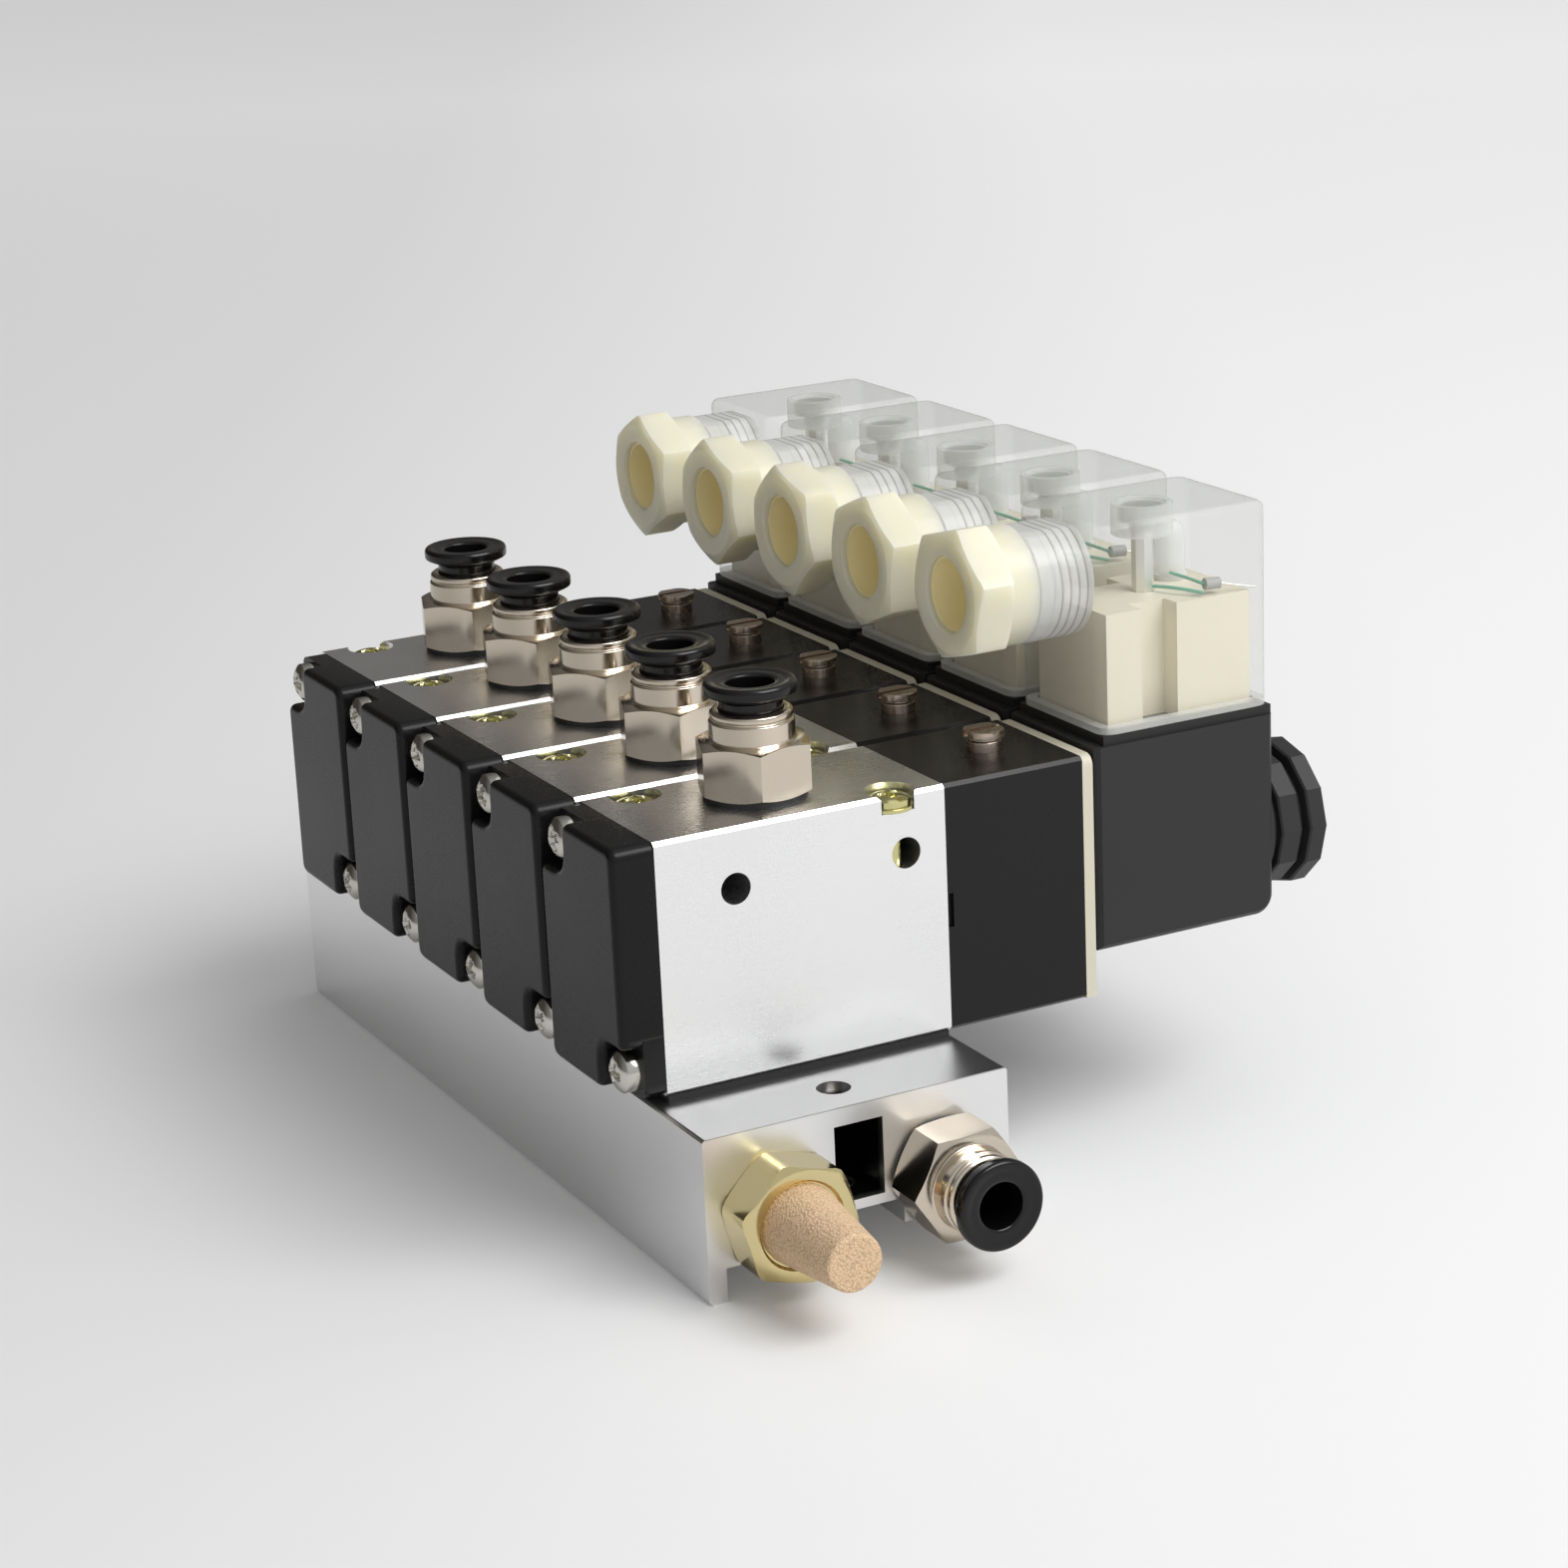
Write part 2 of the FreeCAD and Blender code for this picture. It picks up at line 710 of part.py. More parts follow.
def make_pilot_bodies():
    """The pilot bodies: a chamber for the armature, a well for the override button, and the air ways."""
    y = first_station
    side = d.valve_width / 2
    piece = Piece("pilot_bodies", group=True)
    block = piece.section("X", body_right).rectangle((y - side, valve_bottom), (y + side, valve_top))
    piece.pad(block, d.pilot_length)
    piece.bevel_edges(d.body_chamfer, runs_along("X", (y - side, y + side), (valve_bottom, valve_top)))
    vent = piece.section("Y", y - side)
    vent.rectangle((body_right, axis_z - d.vent_height / 2), (body_right + d.vent_width, axis_z + d.vent_height / 2))
    piece.pocket(vent, d.vent_depth)
    chamber = tube_inside + d.coil_fit
    piece.drill("X", pilot_right, (y, axis_z), d.tube_flange + d.coil_fit, d.tube_flange_thickness, -1)
    piece.drill("X", pilot_right, (y, axis_z), chamber, d.plunger_seat, -1)
    piece.drill("X", pilot_right, (y, axis_z), d.pilot_orifice, d.pilot_length, -1)
    well = valve_top - button_well
    shank = d.button_shank + 2 * d.running_clearance
    piece.drill("Z", valve_top, (button_x, y), shank, well, -1)
    head_wells = piece.section("X", pilot_right)
    shanks = piece.section("X", pilot_right)
    for aside, z in corner_screws:
        head_wells.thread(d.screw_head + d.screw_clearance, (y + aside, z))
        shanks.thread(screw_hole, (y + aside, z))
    piece.pocket(head_wells, d.screw_head_height + d.stop_gap, -1)
    piece.pocket(shanks, d.pilot_length, -1)
    piece.repeat_in_row()


def make_pilot_screws():
    """The screws that hold the pilot bodies, their heads sunk under the armature plates."""
    start = pilot_right - d.screw_head_height - d.stop_gap
    piece = Piece("pilot_screws", group=True)
    length = start - body_right + d.pilot_screw_grip
    for aside, z in corner_screws:
        seat = (start, first_station + aside, z)
        headed_screw(piece, "X", seat, d.screw_head_height, length, -1, hidden=True)
    piece.repeat_in_row()


def make_override_button(number, y):
    """One slotted override button, which is pressed down into the pilot body."""
    head = d.button_diameter / 2
    shank = d.button_shank / 2
    under = button_top - d.button_head - button_bottom
    height = button_top - button_bottom
    piece = Piece("override_button_%d" % number)
    profile = [(0, 0), (0, shank), (under, shank), (under, head), (height, head), (height, 0)]
    piece.turn("Z", (button_x, y, button_bottom), profile)
    slot = piece.section("Z", button_top, (button_x, y))
    slot.rectangle((-head, -d.button_slot / 2), (head, d.button_slot / 2))
    piece.pocket(slot, d.button_slot_depth, -1)


def make_armature_plates():
    """The thin plates between the pilot bodies and the coils."""
    y = first_station
    side = d.valve_width / 2
    piece = Piece("armature_plates", group=True)
    sheet_outline = piece.section("X", pilot_right)
    sheet_outline.rectangle((y - side, valve_bottom), (y + side, valve_top))
    sheet_outline.circle(d.tube_diameter + d.coil_fit, (y, axis_z))
    piece.pad(sheet_outline, d.plate_thickness)
    piece.round_edges(d.plate_round, runs_along("X", (y - side, y + side), (valve_top,)))
    piece.repeat_in_row()


def make_armature_tubes():
    """The armature tubes: a flange under the plate, a bore for the plunger, and a fixed core at the end."""
    inside = tube_inside / 2
    tube = d.tube_diameter / 2
    flange = d.tube_flange / 2
    start = pilot_right - d.tube_flange_thickness
    piece = Piece("armature_tubes", group=True)
    profile = [
        (0, inside),
        (0, flange),
        (d.tube_flange_thickness, flange),
        (d.tube_flange_thickness, tube),
        (tube_right - start, tube),
        (tube_right - start, 0),
        (core_left - start, 0),
        (core_left - start, inside),
    ]
    piece.turn("X", (start, first_station, axis_z), profile)
    piece.repeat_in_row()


def make_plunger(number, y):
    """One plunger: a rod that closes the pilot orifice, with a pocket for its spring at the core end."""
    radius = plunger_diameter / 2
    pocket = d.plunger_pocket / 2
    length = plunger_right - plunger_left
    floor = length - d.plunger_pocket_depth
    piece = Piece("plunger_%d" % number)
    profile = [
        (0, 0),
        (0, radius),
        (length, radius),
        (length, pocket),
        (floor, pocket),
        (floor, 0),
    ]
    piece.turn("X", (plunger_left, y, axis_z), profile)


def make_coil_seals():
    """The flat seals between the armature plates and the coils."""
    piece = Piece("coil_seals", group=True)
    flat = piece.section("X", plate_right, (first_station, axis_z))
    flat.square(d.coil_seal_width).circle(d.tube_diameter + d.coil_fit)
    piece.pad(flat, d.coil_seal)
    piece.repeat_in_row()


def make_coil(number, y):
    """One moulded coil, with a bore for the armature tube and a thread for the connector's screw."""
    side = d.valve_width / 2
    piece = Piece("coil_%d" % number)
    block = piece.section("X", coil_left).rectangle((y - side, coil_bottom), (y + side, coil_top))
    piece.pad(block, d.coil_length)
    piece.round_edges(d.coil_round, runs_along("Y", (coil_right,), (coil_bottom,)))
    piece.bevel_edges(d.coil_chamfer, runs_along("Z", (coil_left, coil_right), (y - side, y + side)))
    piece.drill("X", coil_left, (y, axis_z), d.tube_diameter + 2 * d.coil_fit, d.coil_length)
    thread = piece.section("Z", coil_top, (connector_middle, y)).thread(tapped_hole)
    piece.pocket(thread, d.mount_screw_grip + d.stop_gap, -1)


def make_coil_pins():
    """The three contact blades that stand on each coil."""
    y = first_station
    piece = Piece("coil_pins", group=True)
    blades = piece.section("Z", coil_top, (connector_middle, y))
    half = d.pin_width / 2
    thin = d.pin_thickness / 2
    for side in (-1, 1):
        place = side * d.pin_spacing / 2
        blades.rectangle((place - thin, -half), (place + thin, half))
    blades.rectangle((-half, half - thin), (half, half + thin))
    piece.pad(blades, d.pin_height)
    piece.repeat_in_row()


def make_coil_nuts():
    """The moulded coil nuts: a flange and two rings of grip facets on the end of the armature tube."""
    piece = Piece("coil_nuts", group=True)
    centre = (first_station, axis_z)
    start = coil_right
    steps = [
        (nut_diameter - 2 * d.nut_flange_step, d.nut_flange_thickness, False),
        (nut_diameter - 2 * d.nut_groove_step, d.nut_groove_width, True),
        (nut_diameter - 2 * d.nut_inner_step, d.nut_inner_ring_width, True),
        (nut_diameter - 2 * d.nut_groove_step, d.nut_groove_width, True),
        (nut_diameter, d.nut_outer_ring_width, True),
    ]
    for width, thickness, faceted in steps:
        ring = piece.section("X", start, centre)
        outline = ring.polygon(NUT_FACETS, width) if faceted else ring.circle(width)
        piece.pad(outline, thickness)
        start = start + thickness
    piece.drill("X", coil_right, centre, d.tube_diameter + 2 * d.thread_clearance, nut_width)
    piece.repeat_in_row()


def make_connector_gaskets():
    """The gaskets between the coils and the connectors."""
    y = first_station
    side = connector_half
    rim = d.gasket_rim
    piece = Piece("connector_gaskets", group=True)
    frame = piece.section("Z", coil_top)
    frame.rectangle((connector_left, y - side), (connector_right, y + side))
    frame.rectangle((connector_left + rim, y - side + rim), (connector_right - rim, y + side - rim))
    piece.pad(frame, d.connector_gasket)
    piece.repeat_in_row()


def make_connector_housings():
    """The clear connector housings, open below, each with a cable stub towards -X and a screw post."""
    y = first_station
    side = connector_half
    wall = d.connector_wall
    piece = Piece("connector_housings", group=True)
    block = piece.section("Z", connector_bottom)
    block.rectangle((connector_left, y - side), (connector_right, y + side))
    piece.pad(block, connector_top - connector_bottom)
    piece.round_edges(
        d.connector_round,
        runs_along("Z", (connector_left, connector_right), (y - side, y + side)),
    )
    piece.bevel_edges(d.connector_chamfer, lambda edge: near(edge.BoundBox.ZMin, connector_top))
    stub = piece.section("X", connector_left + wall, (y, gland_z)).circle(stub_diameter)
    piece.pad(stub, d.stub_length + wall, -1)
    strip = piece.section("X", stub_left)
    stub_top = gland_z + stub_diameter / 2
    strip.rectangle((y - side, stub_top - d.stub_flat), (y + side, stub_top + d.stub_flat))
    piece.pocket(strip, d.stub_length)
    cavity = piece.section("Z", connector_bottom)
    cavity.rectangle(
        (connector_left + wall, y - side + wall), (connector_right - wall, y + side - wall)
    )
    piece.pocket(cavity, connector_top - connector_bottom - wall)
    piece.drill("X", stub_left, (y, gland_z), d.gland_thread + 2 * d.thread_clearance, d.stub_length + wall)
    middle = (connector_middle, y)
    recess = d.screw_head + 2 * d.recess_rim
    post = piece.section("Z", connector_top - wall, middle).circle(recess + 2 * d.post_wall)
    piece.pad(post, d.post_height - wall, -1)
    piece.drill("Z", connector_top, middle, recess, d.recess_depth, -1)
    piece.pocket(piece.section("Z", connector_top, middle).thread(screw_hole), d.post_height, -1)
    piece.repeat_in_row()


def make_terminal_inserts():
    """The cream terminal blocks inside the connectors, slotted at both sides and hollow over the blades."""
    y = first_station
    gap = d.connector_wall + d.insert_gap
    left = connector_left + gap
    right = connector_right - gap
    side = connector_half - gap
    inner = side - d.insert_slot_depth
    slot_left = left + d.insert_slot_start
    slot_right = slot_left + d.insert_slot_width
    piece = Piece("terminal_inserts", group=True)
    block = piece.section("Z", connector_bottom, (0, y))
    low_side = [(left, -side), (slot_left, -side), (slot_left, -inner), (slot_right, -inner), (slot_right, -side)]
    high_side = [(u, -v) for u, v in reversed(low_side)]
    piece.pad(block.outline(low_side + [(right, -side), (right, side)] + high_side), d.insert_height)
    hollow = piece.section("Z", connector_bottom, (0, y))
    reach = inner - d.insert_wall
    hollow.rectangle((left + d.insert_wall, -reach), (right - d.insert_wall, reach))
    piece.pocket(hollow, d.insert_pocket_depth)
    hole = piece.section("Z", connector_bottom, (connector_middle, y)).thread(screw_hole)
    piece.pocket(hole, d.insert_height)
    piece.repeat_in_row()


def make_led_lamps():
    """The signal lamps that stand on the terminal blocks."""
    centre = (connector_middle + d.lamp_offset, first_station + d.lamp_side, insert_top)
    radius = d.lamp_diameter / 2
    shoulder = d.lamp_height - radius / 2
    piece = Piece("led_lamps", group=True)
    profile = [(0, 0), (0, radius), (shoulder, radius), (d.lamp_height, radius / 2), (d.lamp_height, 0)]
    piece.turn("Z", centre, profile)
    piece.repeat_in_row()


def make_connector_screws():
    """The long screws that hold the connectors to the coils."""
    under = connector_top - d.recess_depth
    length = under - coil_top + d.mount_screw_grip
    piece = Piece("connector_screws", group=True)
    headed_screw(piece, "Z", (connector_middle, first_station, under), d.mount_head_height, length, -1)
    piece.repeat_in_row()


def make_gland_nuts():
    """The cable gland nuts, each left by hand at an angle of its own."""
    piece = Piece("gland_nuts", group=True)
    head_left = stub_left - d.gland_length
    collar_left = stub_left - d.gland_collar_length
    for y, turn in zip(station_y, GLAND_TURNS):
        centre = (y, gland_z)
        head = piece.section("X", head_left, centre).polygon(HEXAGON, d.gland_flats, turn)
        piece.pad(head, d.gland_length - d.gland_collar_length)
        piece.pad(piece.section("X", collar_left, centre).circle(stub_diameter), d.gland_collar_length)
        piece.pad(piece.section("X", stub_left, centre).circle(d.gland_thread), d.gland_shank_length)
        length = d.gland_length + d.gland_shank_length
        piece.drill("X", head_left, centre, d.gland_bore, length)


def push_in_fitting(piece, axis, seat, towards, turn):
    """A push-in fitting on its sealing ring: thread, hexagon, and a neck that holds the collar."""
    x, y, z = seat
    thread = port_thread / 2
    inside = sleeve_hole / 2
    mouth = inside + d.mouth_wall
    neck = mouth + d.fitting_taper
    shoulder = d.port_seal + d.fitting_hex_height
    top = shoulder + d.fitting_neck_height
    depth = d.fitting_thread_length - d.port_seal
    profile = [
        (-depth, inside),
        (-depth, thread),
        (shoulder, thread),
        (shoulder, neck),
        (top - d.fitting_taper, neck),
        (top, mouth),
        (top, inside),
    ]
    piece.turn(axis, seat, profile, towards)
    at, centre = (z, (x, y)) if axis == "Z" else (y, (x, z))
    hexagon = piece.section(axis, at + towards * d.port_seal, centre)
    hexagon.polygon(HEXAGON, d.fitting_flats, turn).circle(port_thread)
    piece.pad(hexagon, d.fitting_hex_height, towards)


def release_collar(piece, axis, seat, towards):
    """The black collar of a push-in fitting, which is pressed in to let the tube go."""
    top = d.port_seal + d.fitting_hex_height + d.fitting_neck_height
    sleeve = d.collar_sleeve / 2
    disc = d.collar_disc / 2
    bore = d.tube_bore / 2
    bottom = top - d.collar_sleeve_depth
    flare = top + d.collar_travel + d.stop_gap
    rim = flare + d.collar_flare
    face = rim + d.collar_disc_thickness
    profile = [(bottom, bore), (bottom, sleeve), (flare, sleeve), (rim, disc), (face, disc), (face, bore)]
    piece.turn(axis, seat, profile, towards)


def make_port_fittings():
    """The push-in fittings of the outlets, one on top of each valve."""
    piece = Piece("port_fittings", group=True)
    push_in_fitting(piece, "Z", (-d.outlet_offset, first_station, valve_top), 1, FITTING_TURN)
    piece.repeat_in_row()


def make_port_seals():
    """The flat sealing rings under the push-in fittings."""
    piece = Piece("port_seals", group=True)
    for y in station_y:
        ring = piece.section("Z", valve_top, (-d.outlet_offset, y)).circle(d.port_seal_diameter)
        piece.pad(ring.circle(port_bore), d.port_seal)
    supply = piece.section("Y", near_end, (channel_x, channel_z))
    piece.pad(supply.circle(d.port_seal_diameter).circle(port_bore), d.port_seal, -1)


def make_silencer():
    """The exhaust silencer: a hexagon body screwed into the manifold, and its sintered cone."""
    seat = (-channel_x, near_end, channel_z)
    thread = port_thread / 2
    hex_height = d.silencer_hex_height
    body = Piece("silencer_body")
    bore = d.silencer_bore / 2
    start = -d.fitting_thread_length
    stub = [(start, bore), (start, thread), (hex_height, thread), (hex_height, bore)]
    body.turn("Y", seat, stub, -1)
    hexagon = body.section("Y", near_end, (-channel_x, channel_z))
    hexagon.polygon(HEXAGON, d.silencer_flats, SILENCER_TURN).circle(port_thread)
    body.pad(hexagon, hex_height, -1)
    cone = Piece("silencer_cone")
    spigot = bore - d.thread_clearance
    base = d.cone_base / 2
    tip = d.cone_tip / 2
    end = hex_height + d.cone_length
    hollow = spigot - d.cone_wall
    profile = [
        (hex_height - d.cone_spigot, hollow),
        (hex_height - d.cone_spigot, spigot),
        (hex_height, spigot),
        (hex_height, base),
        (end - d.cone_round, tip),
        (end, tip - d.cone_round),
        (end, 0),
        (end - d.cone_wall, 0),
        (end - d.cone_wall, hollow),
    ]
    cone.turn("Y", seat, profile, -1)


def make_manifold_plugs():
    """The socket plugs that close both channels at the far end."""
    piece = Piece("manifold_plugs", group=True)
    for side in (-1, 1):
        centre = (side * channel_x, channel_z)
        face = far_end - d.plug_recess
        piece.pad(piece.section("Y", face, centre).circle(port_thread), d.plug_length, -1)
        socket = piece.section("Y", face, centre).polygon(HEXAGON, d.plug_socket)
        piece.pocket(socket, d.plug_socket_depth, -1)


def spring_solid(start, axis, length, coil, wire, turns):
    """One compression spring of square wire, whose centre line is a helix of straight segments."""
    count = int(turns * SPRING_SEGMENTS)
    rise = (length - 1.25 * wire) / count
    along = FreeCAD.Vector(*axis)
    first = FreeCAD.Vector(0, 1, 0)
    second = along.cross(first)
    points = []
    for index in range(count + 1):
        angle = 2 * math.pi * index / SPRING_SEGMENTS
        spoke = first * math.cos(angle) + second * math.sin(angle)
        points.append(start + along * (wire / 2 + rise * index) + spoke * (coil / 2))
    path = Part.makePolygon(points)
    half = wire / 2
    square = [(half, half), (-half, half), (-half, -half), (half, -half), (half, half)]
    section = Part.makePolygon([points[0] + first * u + along * v for u, v in square])
    return path.makePipeShell([section], True, False, 1)


def make_springs(label, start, axis, length, coil, wire, turns):
    """A row of like springs, one for each station."""
    springs = doc.addObject("Part::Feature", label)
    springs.Label = label
    lengths = [as_size(size).value for size in (length, coil, wire)]
    solids = []
    for y in station_y:
        place = FreeCAD.Vector(start[0].value, y.value, start[1].value)
        solids.append(spring_solid(place, axis, lengths[0], lengths[1], lengths[2], turns))
    springs.Shape = Part.makeCompound(solids)
    springs.Placement = FreeCAD.Placement()
    Piece.made.append(springs)


make_manifold()
make_valve_gaskets()
make_end_caps()
make_cap_screws()
make_mount_screws()
make_pilot_bodies()
make_pilot_screws()
make_armature_plates()
make_armature_tubes()
make_coil_seals()
make_coil_pins()
make_coil_nuts()
make_connector_gaskets()
make_connector_housings()
make_terminal_inserts()
make_led_lamps()
make_connector_screws()
make_gland_nuts()
make_port_fittings()
make_port_seals()
make_silencer()
make_manifold_plugs()
for number, y in enumerate(station_y, start=1):
    make_valve_body(number, y)
    make_spool(number, y)
    make_override_button(number, y)
    make_plunger(number, y)
    make_coil(number, y)
    collar = Piece("port_collar_%d" % number)
    release_collar(collar, "Z", (-d.outlet_offset, y, valve_top), 1)
supply_seat = (channel_x, near_end, channel_z)
push_in_fitting(Piece("supply_fitting"), "Y", supply_seat, -1, SUPPLY_TURN)
release_collar(Piece("supply_collar"), "Y", supply_seat, -1)
spool_spring_coil = spring_cavity - 2 * d.spool_spring_wire
make_springs(
    "spool_springs",
    (cavity_left, axis_z),
    (1, 0, 0),
    spool_left - cavity_left,
    spool_spring_coil,
    d.spool_spring_wire,
    2.5,
)
plunger_spring_coil = d.plunger_pocket - 2 * d.plunger_spring_wire
make_springs(
    "plunger_springs",
    (plunger_right - d.plunger_pocket_depth, axis_z),
    (1, 0, 0),
    core_left - plunger_right + d.plunger_pocket_depth,
    plunger_spring_coil,
    d.plunger_spring_wire,
    3.5,
)
button_spring_coil = d.button_shank - 2 * d.button_spring_wire
make_springs(
    "button_springs",
    (button_x, button_well),
    (0, 0, 1),
    d.button_spring_length,
    button_spring_coil,
    d.button_spring_wire,
    2,
)

doc.recompute()
for item in doc.Objects:
    if "Invalid" in item.State or "Error" in item.State:
        raise RuntimeError("%s is in state %s" % (item.Label, item.State))
for item in Piece.made:
    if item.Shape.isNull() or not item.Shape.isValid():
        raise RuntimeError("%s has no valid shape" % item.Label)

os.makedirs("parts", exist_ok=True)
for item in Piece.made:
    item.Shape.exportStep("parts/%s.step" % item.Label)
print("%d nodes, %d solids" % (len(Piece.made), sum(len(item.Shape.Solids) for item in Piece.made)))
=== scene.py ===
"""The looks of a pneumatic valve island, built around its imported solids.

Shapes are worked out in millimetres and become metres when a piece is made.
"""
import math

import bpy
import numpy as np
from mathutils import Matrix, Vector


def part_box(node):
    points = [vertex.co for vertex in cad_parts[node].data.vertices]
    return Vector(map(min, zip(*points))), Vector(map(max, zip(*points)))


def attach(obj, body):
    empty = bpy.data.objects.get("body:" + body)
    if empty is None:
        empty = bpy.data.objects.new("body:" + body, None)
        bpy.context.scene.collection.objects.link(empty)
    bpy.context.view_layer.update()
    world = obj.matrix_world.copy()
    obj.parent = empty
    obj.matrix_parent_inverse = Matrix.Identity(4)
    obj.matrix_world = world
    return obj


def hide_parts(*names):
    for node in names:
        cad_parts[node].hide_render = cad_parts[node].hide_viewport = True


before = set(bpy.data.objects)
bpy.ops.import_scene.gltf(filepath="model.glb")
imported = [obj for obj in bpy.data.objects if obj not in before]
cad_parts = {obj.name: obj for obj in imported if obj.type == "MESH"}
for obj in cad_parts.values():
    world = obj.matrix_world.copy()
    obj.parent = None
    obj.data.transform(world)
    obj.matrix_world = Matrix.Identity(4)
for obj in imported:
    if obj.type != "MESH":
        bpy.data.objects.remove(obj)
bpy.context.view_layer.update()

bl_info = {
    "name": "Pneumatic valve island",
    "version": (1, 0, 0),
    "blender": (4, 5, 0),
    "location": "3D View > Sidebar > Valve island",
    "description": "Dresses the solids of a five-station valve island and sets its studio",
    "category": "Object",
}

MM = 0.001
HULL = "island"  # the body that carries every fixed piece

# Sizes that more than one piece uses, in millimetres
STUB_LENGTH = 7.6  # cable stub on the side of a connector housing
CABLE_DROP = 8.2  # from the top of a connector housing down to its cable's axis
COLLAR_RISE = 3.7  # from a fitting's mouth to the top of its release collar


def span(node):
    """The lowest and highest corner of a CAD node, in millimetres."""
    low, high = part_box(node)
    return np.array(low) / MM, np.array(high) / MM


def centre(node):
    """The middle of a CAD node's box, in millimetres."""
    low, high = span(node)
    return (low + high) / 2


STATIONS = [name for name in sorted(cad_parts) if name.startswith("valve_body_")]
STATION_Y = [centre(name)[1] for name in STATIONS]

# ---------------------------------------------------------------- shapes


def softened(points, radius, looped=False, steps=3):
    """A line whose corners b, with neighbours a and c, become the curve a(1-t)(1-t) + 2b t(1-t) + c t t,
    where a and c are first drawn in to the given distance from b."""
    line = np.array(points, dtype=float)
    corner = line if looped else line[1:-1]
    before = np.roll(line, 1, axis=0) if looped else line[:-2]
    after = np.roll(line, -1, axis=0) if looped else line[2:]
    reach = np.broadcast_to(np.asarray(radius, dtype=float).reshape(-1, 1), (len(corner), 1))
    longest_share = 0.48

    def drawn_in(other):
        gap = other - corner
        length = np.maximum(np.linalg.norm(gap, axis=1, keepdims=True), 1e-9)
        return corner + gap * np.minimum(reach / length, longest_share)

    start, end = drawn_in(before), drawn_in(after)
    t = np.linspace(0, 1, steps + 1)[:, None, None]
    curve = start * (1 - t) ** 2 + 2 * corner * t * (1 - t) + end * t**2
    curve = curve.transpose(1, 0, 2).reshape(-1, 2)
    return curve if looped else np.vstack([line[:1], curve, line[-1:]])


def circle_angles(count):
    """Angles that divide a full turn evenly."""
    return np.linspace(0, 2 * math.pi, count, endpoint=False)


def turned(profile, segments):
    """A turned surface: each point (height h, radius r) becomes the ring (r cos a, r sin a, h)."""
    angle = circle_angles(segments)
    height, radius = np.asarray(profile, dtype=float).T[:, :, None]
    return np.stack([radius * np.cos(angle), radius * np.sin(angle), height + 0 * angle], axis=-1)


def ring(radius, height, angle):
    """One ring of points (r cos a, r sin a, h), where r and h may both vary with the angle a."""
    radius, height = np.broadcast_arrays(radius, height, angle)[:2]
    return np.stack([radius * np.cos(angle), radius * np.sin(angle), height + 0 * angle], axis=-1)


def polygon_radius(angle, sides, flats, turn, corner=1.0):
    """The distance from the centre to a polygon's edge: half the flats over the cosine of the angle from the
    middle of the nearest flat, and no more than a share of the distance to its corners."""
    step = 2 * math.pi / sides
    off = np.mod(angle - math.radians(turn), step) - step / 2
    return np.minimum(flats / 2 / np.cos(off), corner * flats / 2 / math.cos(step / 2))


def nut_angles(sides, turn, per_side=8):
    """Angles that fall on every corner of a polygon and evenly between them."""
    return math.radians(turn) + circle_angles(sides * per_side)


def chamfered_rows(edge, angle, low, high, face, slope):
    """The rings of a nut's side: where the edge lies beyond the round face, the ends fall back by the slope
    times the distance beyond it, as where a cone cuts the corners."""
    drop = slope * np.maximum(edge - face, 0)
    cut = np.minimum(edge, face)
    levels = [(cut, low), (edge, low + drop), (edge, high - drop), (cut, high)]
    return [ring(radius, height, angle) for radius, height in levels]


def inward(outline):
    """The inward normals of a closed outline that runs anticlockwise."""
    along = np.roll(outline, -1, axis=0) - np.roll(outline, 1, axis=0)
    along /= np.maximum(np.linalg.norm(along, axis=1, keepdims=True), 1e-9)
    return np.stack([-along[:, 1], along[:, 0]], axis=1)


def prism(outline, levels):
    """An outline raised through levels of (height, inset): each ring is the outline moved along its inward
    normals by the inset. A last ring at each end lies a little further in, so that the ends shade flat."""
    normals, lid = inward(outline), 0.12
    (low, low_inset), (high, high_inset) = levels[0], levels[-1]
    levels = [(low, low_inset + lid), *levels, (high, high_inset + lid)]
    return np.array([np.insert(outline + normals * inset, 2, height, axis=1) for height, inset in levels])


def rounded_top(low, high, radius, steps=4):
    """Levels of a prism with a rounded top edge: at the angle q, from a quarter turn to none, the inset is
    R - R sin q at the height high - R + R cos q."""
    quarter = np.linspace(0, math.pi / 2, steps + 1)[::-1]
    return [(low, 0)] + [(high - radius * (1 - math.cos(q)), radius * (1 - math.sin(q))) for q in quarter]


def rectangle(low, high):
    """The corners of a rectangle, anticlockwise."""
    return [(low[0], low[1]), (high[0], low[1]), (high[0], high[1]), (low[0], high[1])]


def skin(rings, looped=False):
    """Joins rings of points by four-sided faces. The end rings are closed by one face each, or joined to each
    other where the section is looped."""
    rings = np.asarray(rings)
    count, size = rings.shape[:2]
    index = np.arange(count * size).reshape(count, size)
    rows = index if looped else index[:-1]
    above = np.roll(index, -1, axis=0) if looped else index[1:]
    quads = np.stack([rows, np.roll(rows, -1, axis=1), np.roll(above, -1, axis=1), above], axis=-1)
    faces = quads.reshape(-1, 4).tolist()
    if not looped:
        faces += [index[0, ::-1].tolist(), index[-1].tolist()]
    return rings.reshape(-1, 3), faces


# The three directions that a shape's own axes take when it stands along an axis of the island
STANDING = {
    "+Z": ((1, 0, 0), (0, 1, 0), (0, 0, 1)),
    "-Y": ((1, 0, 0), (0, 0, 1), (0, -1, 0)),
    "+X": ((0, 1, 0), (0, 0, 1), (1, 0, 0)),
    "-X": ((0, 0, 1), (0, 1, 0), (-1, 0, 0)),
}


def stood(shape, axis, seat):
    """A shape stood along an axis of the island on a seat point."""
    points, faces = shape
    return points @ np.array(STANDING[axis], dtype=float) + np.array(seat, dtype=float), faces


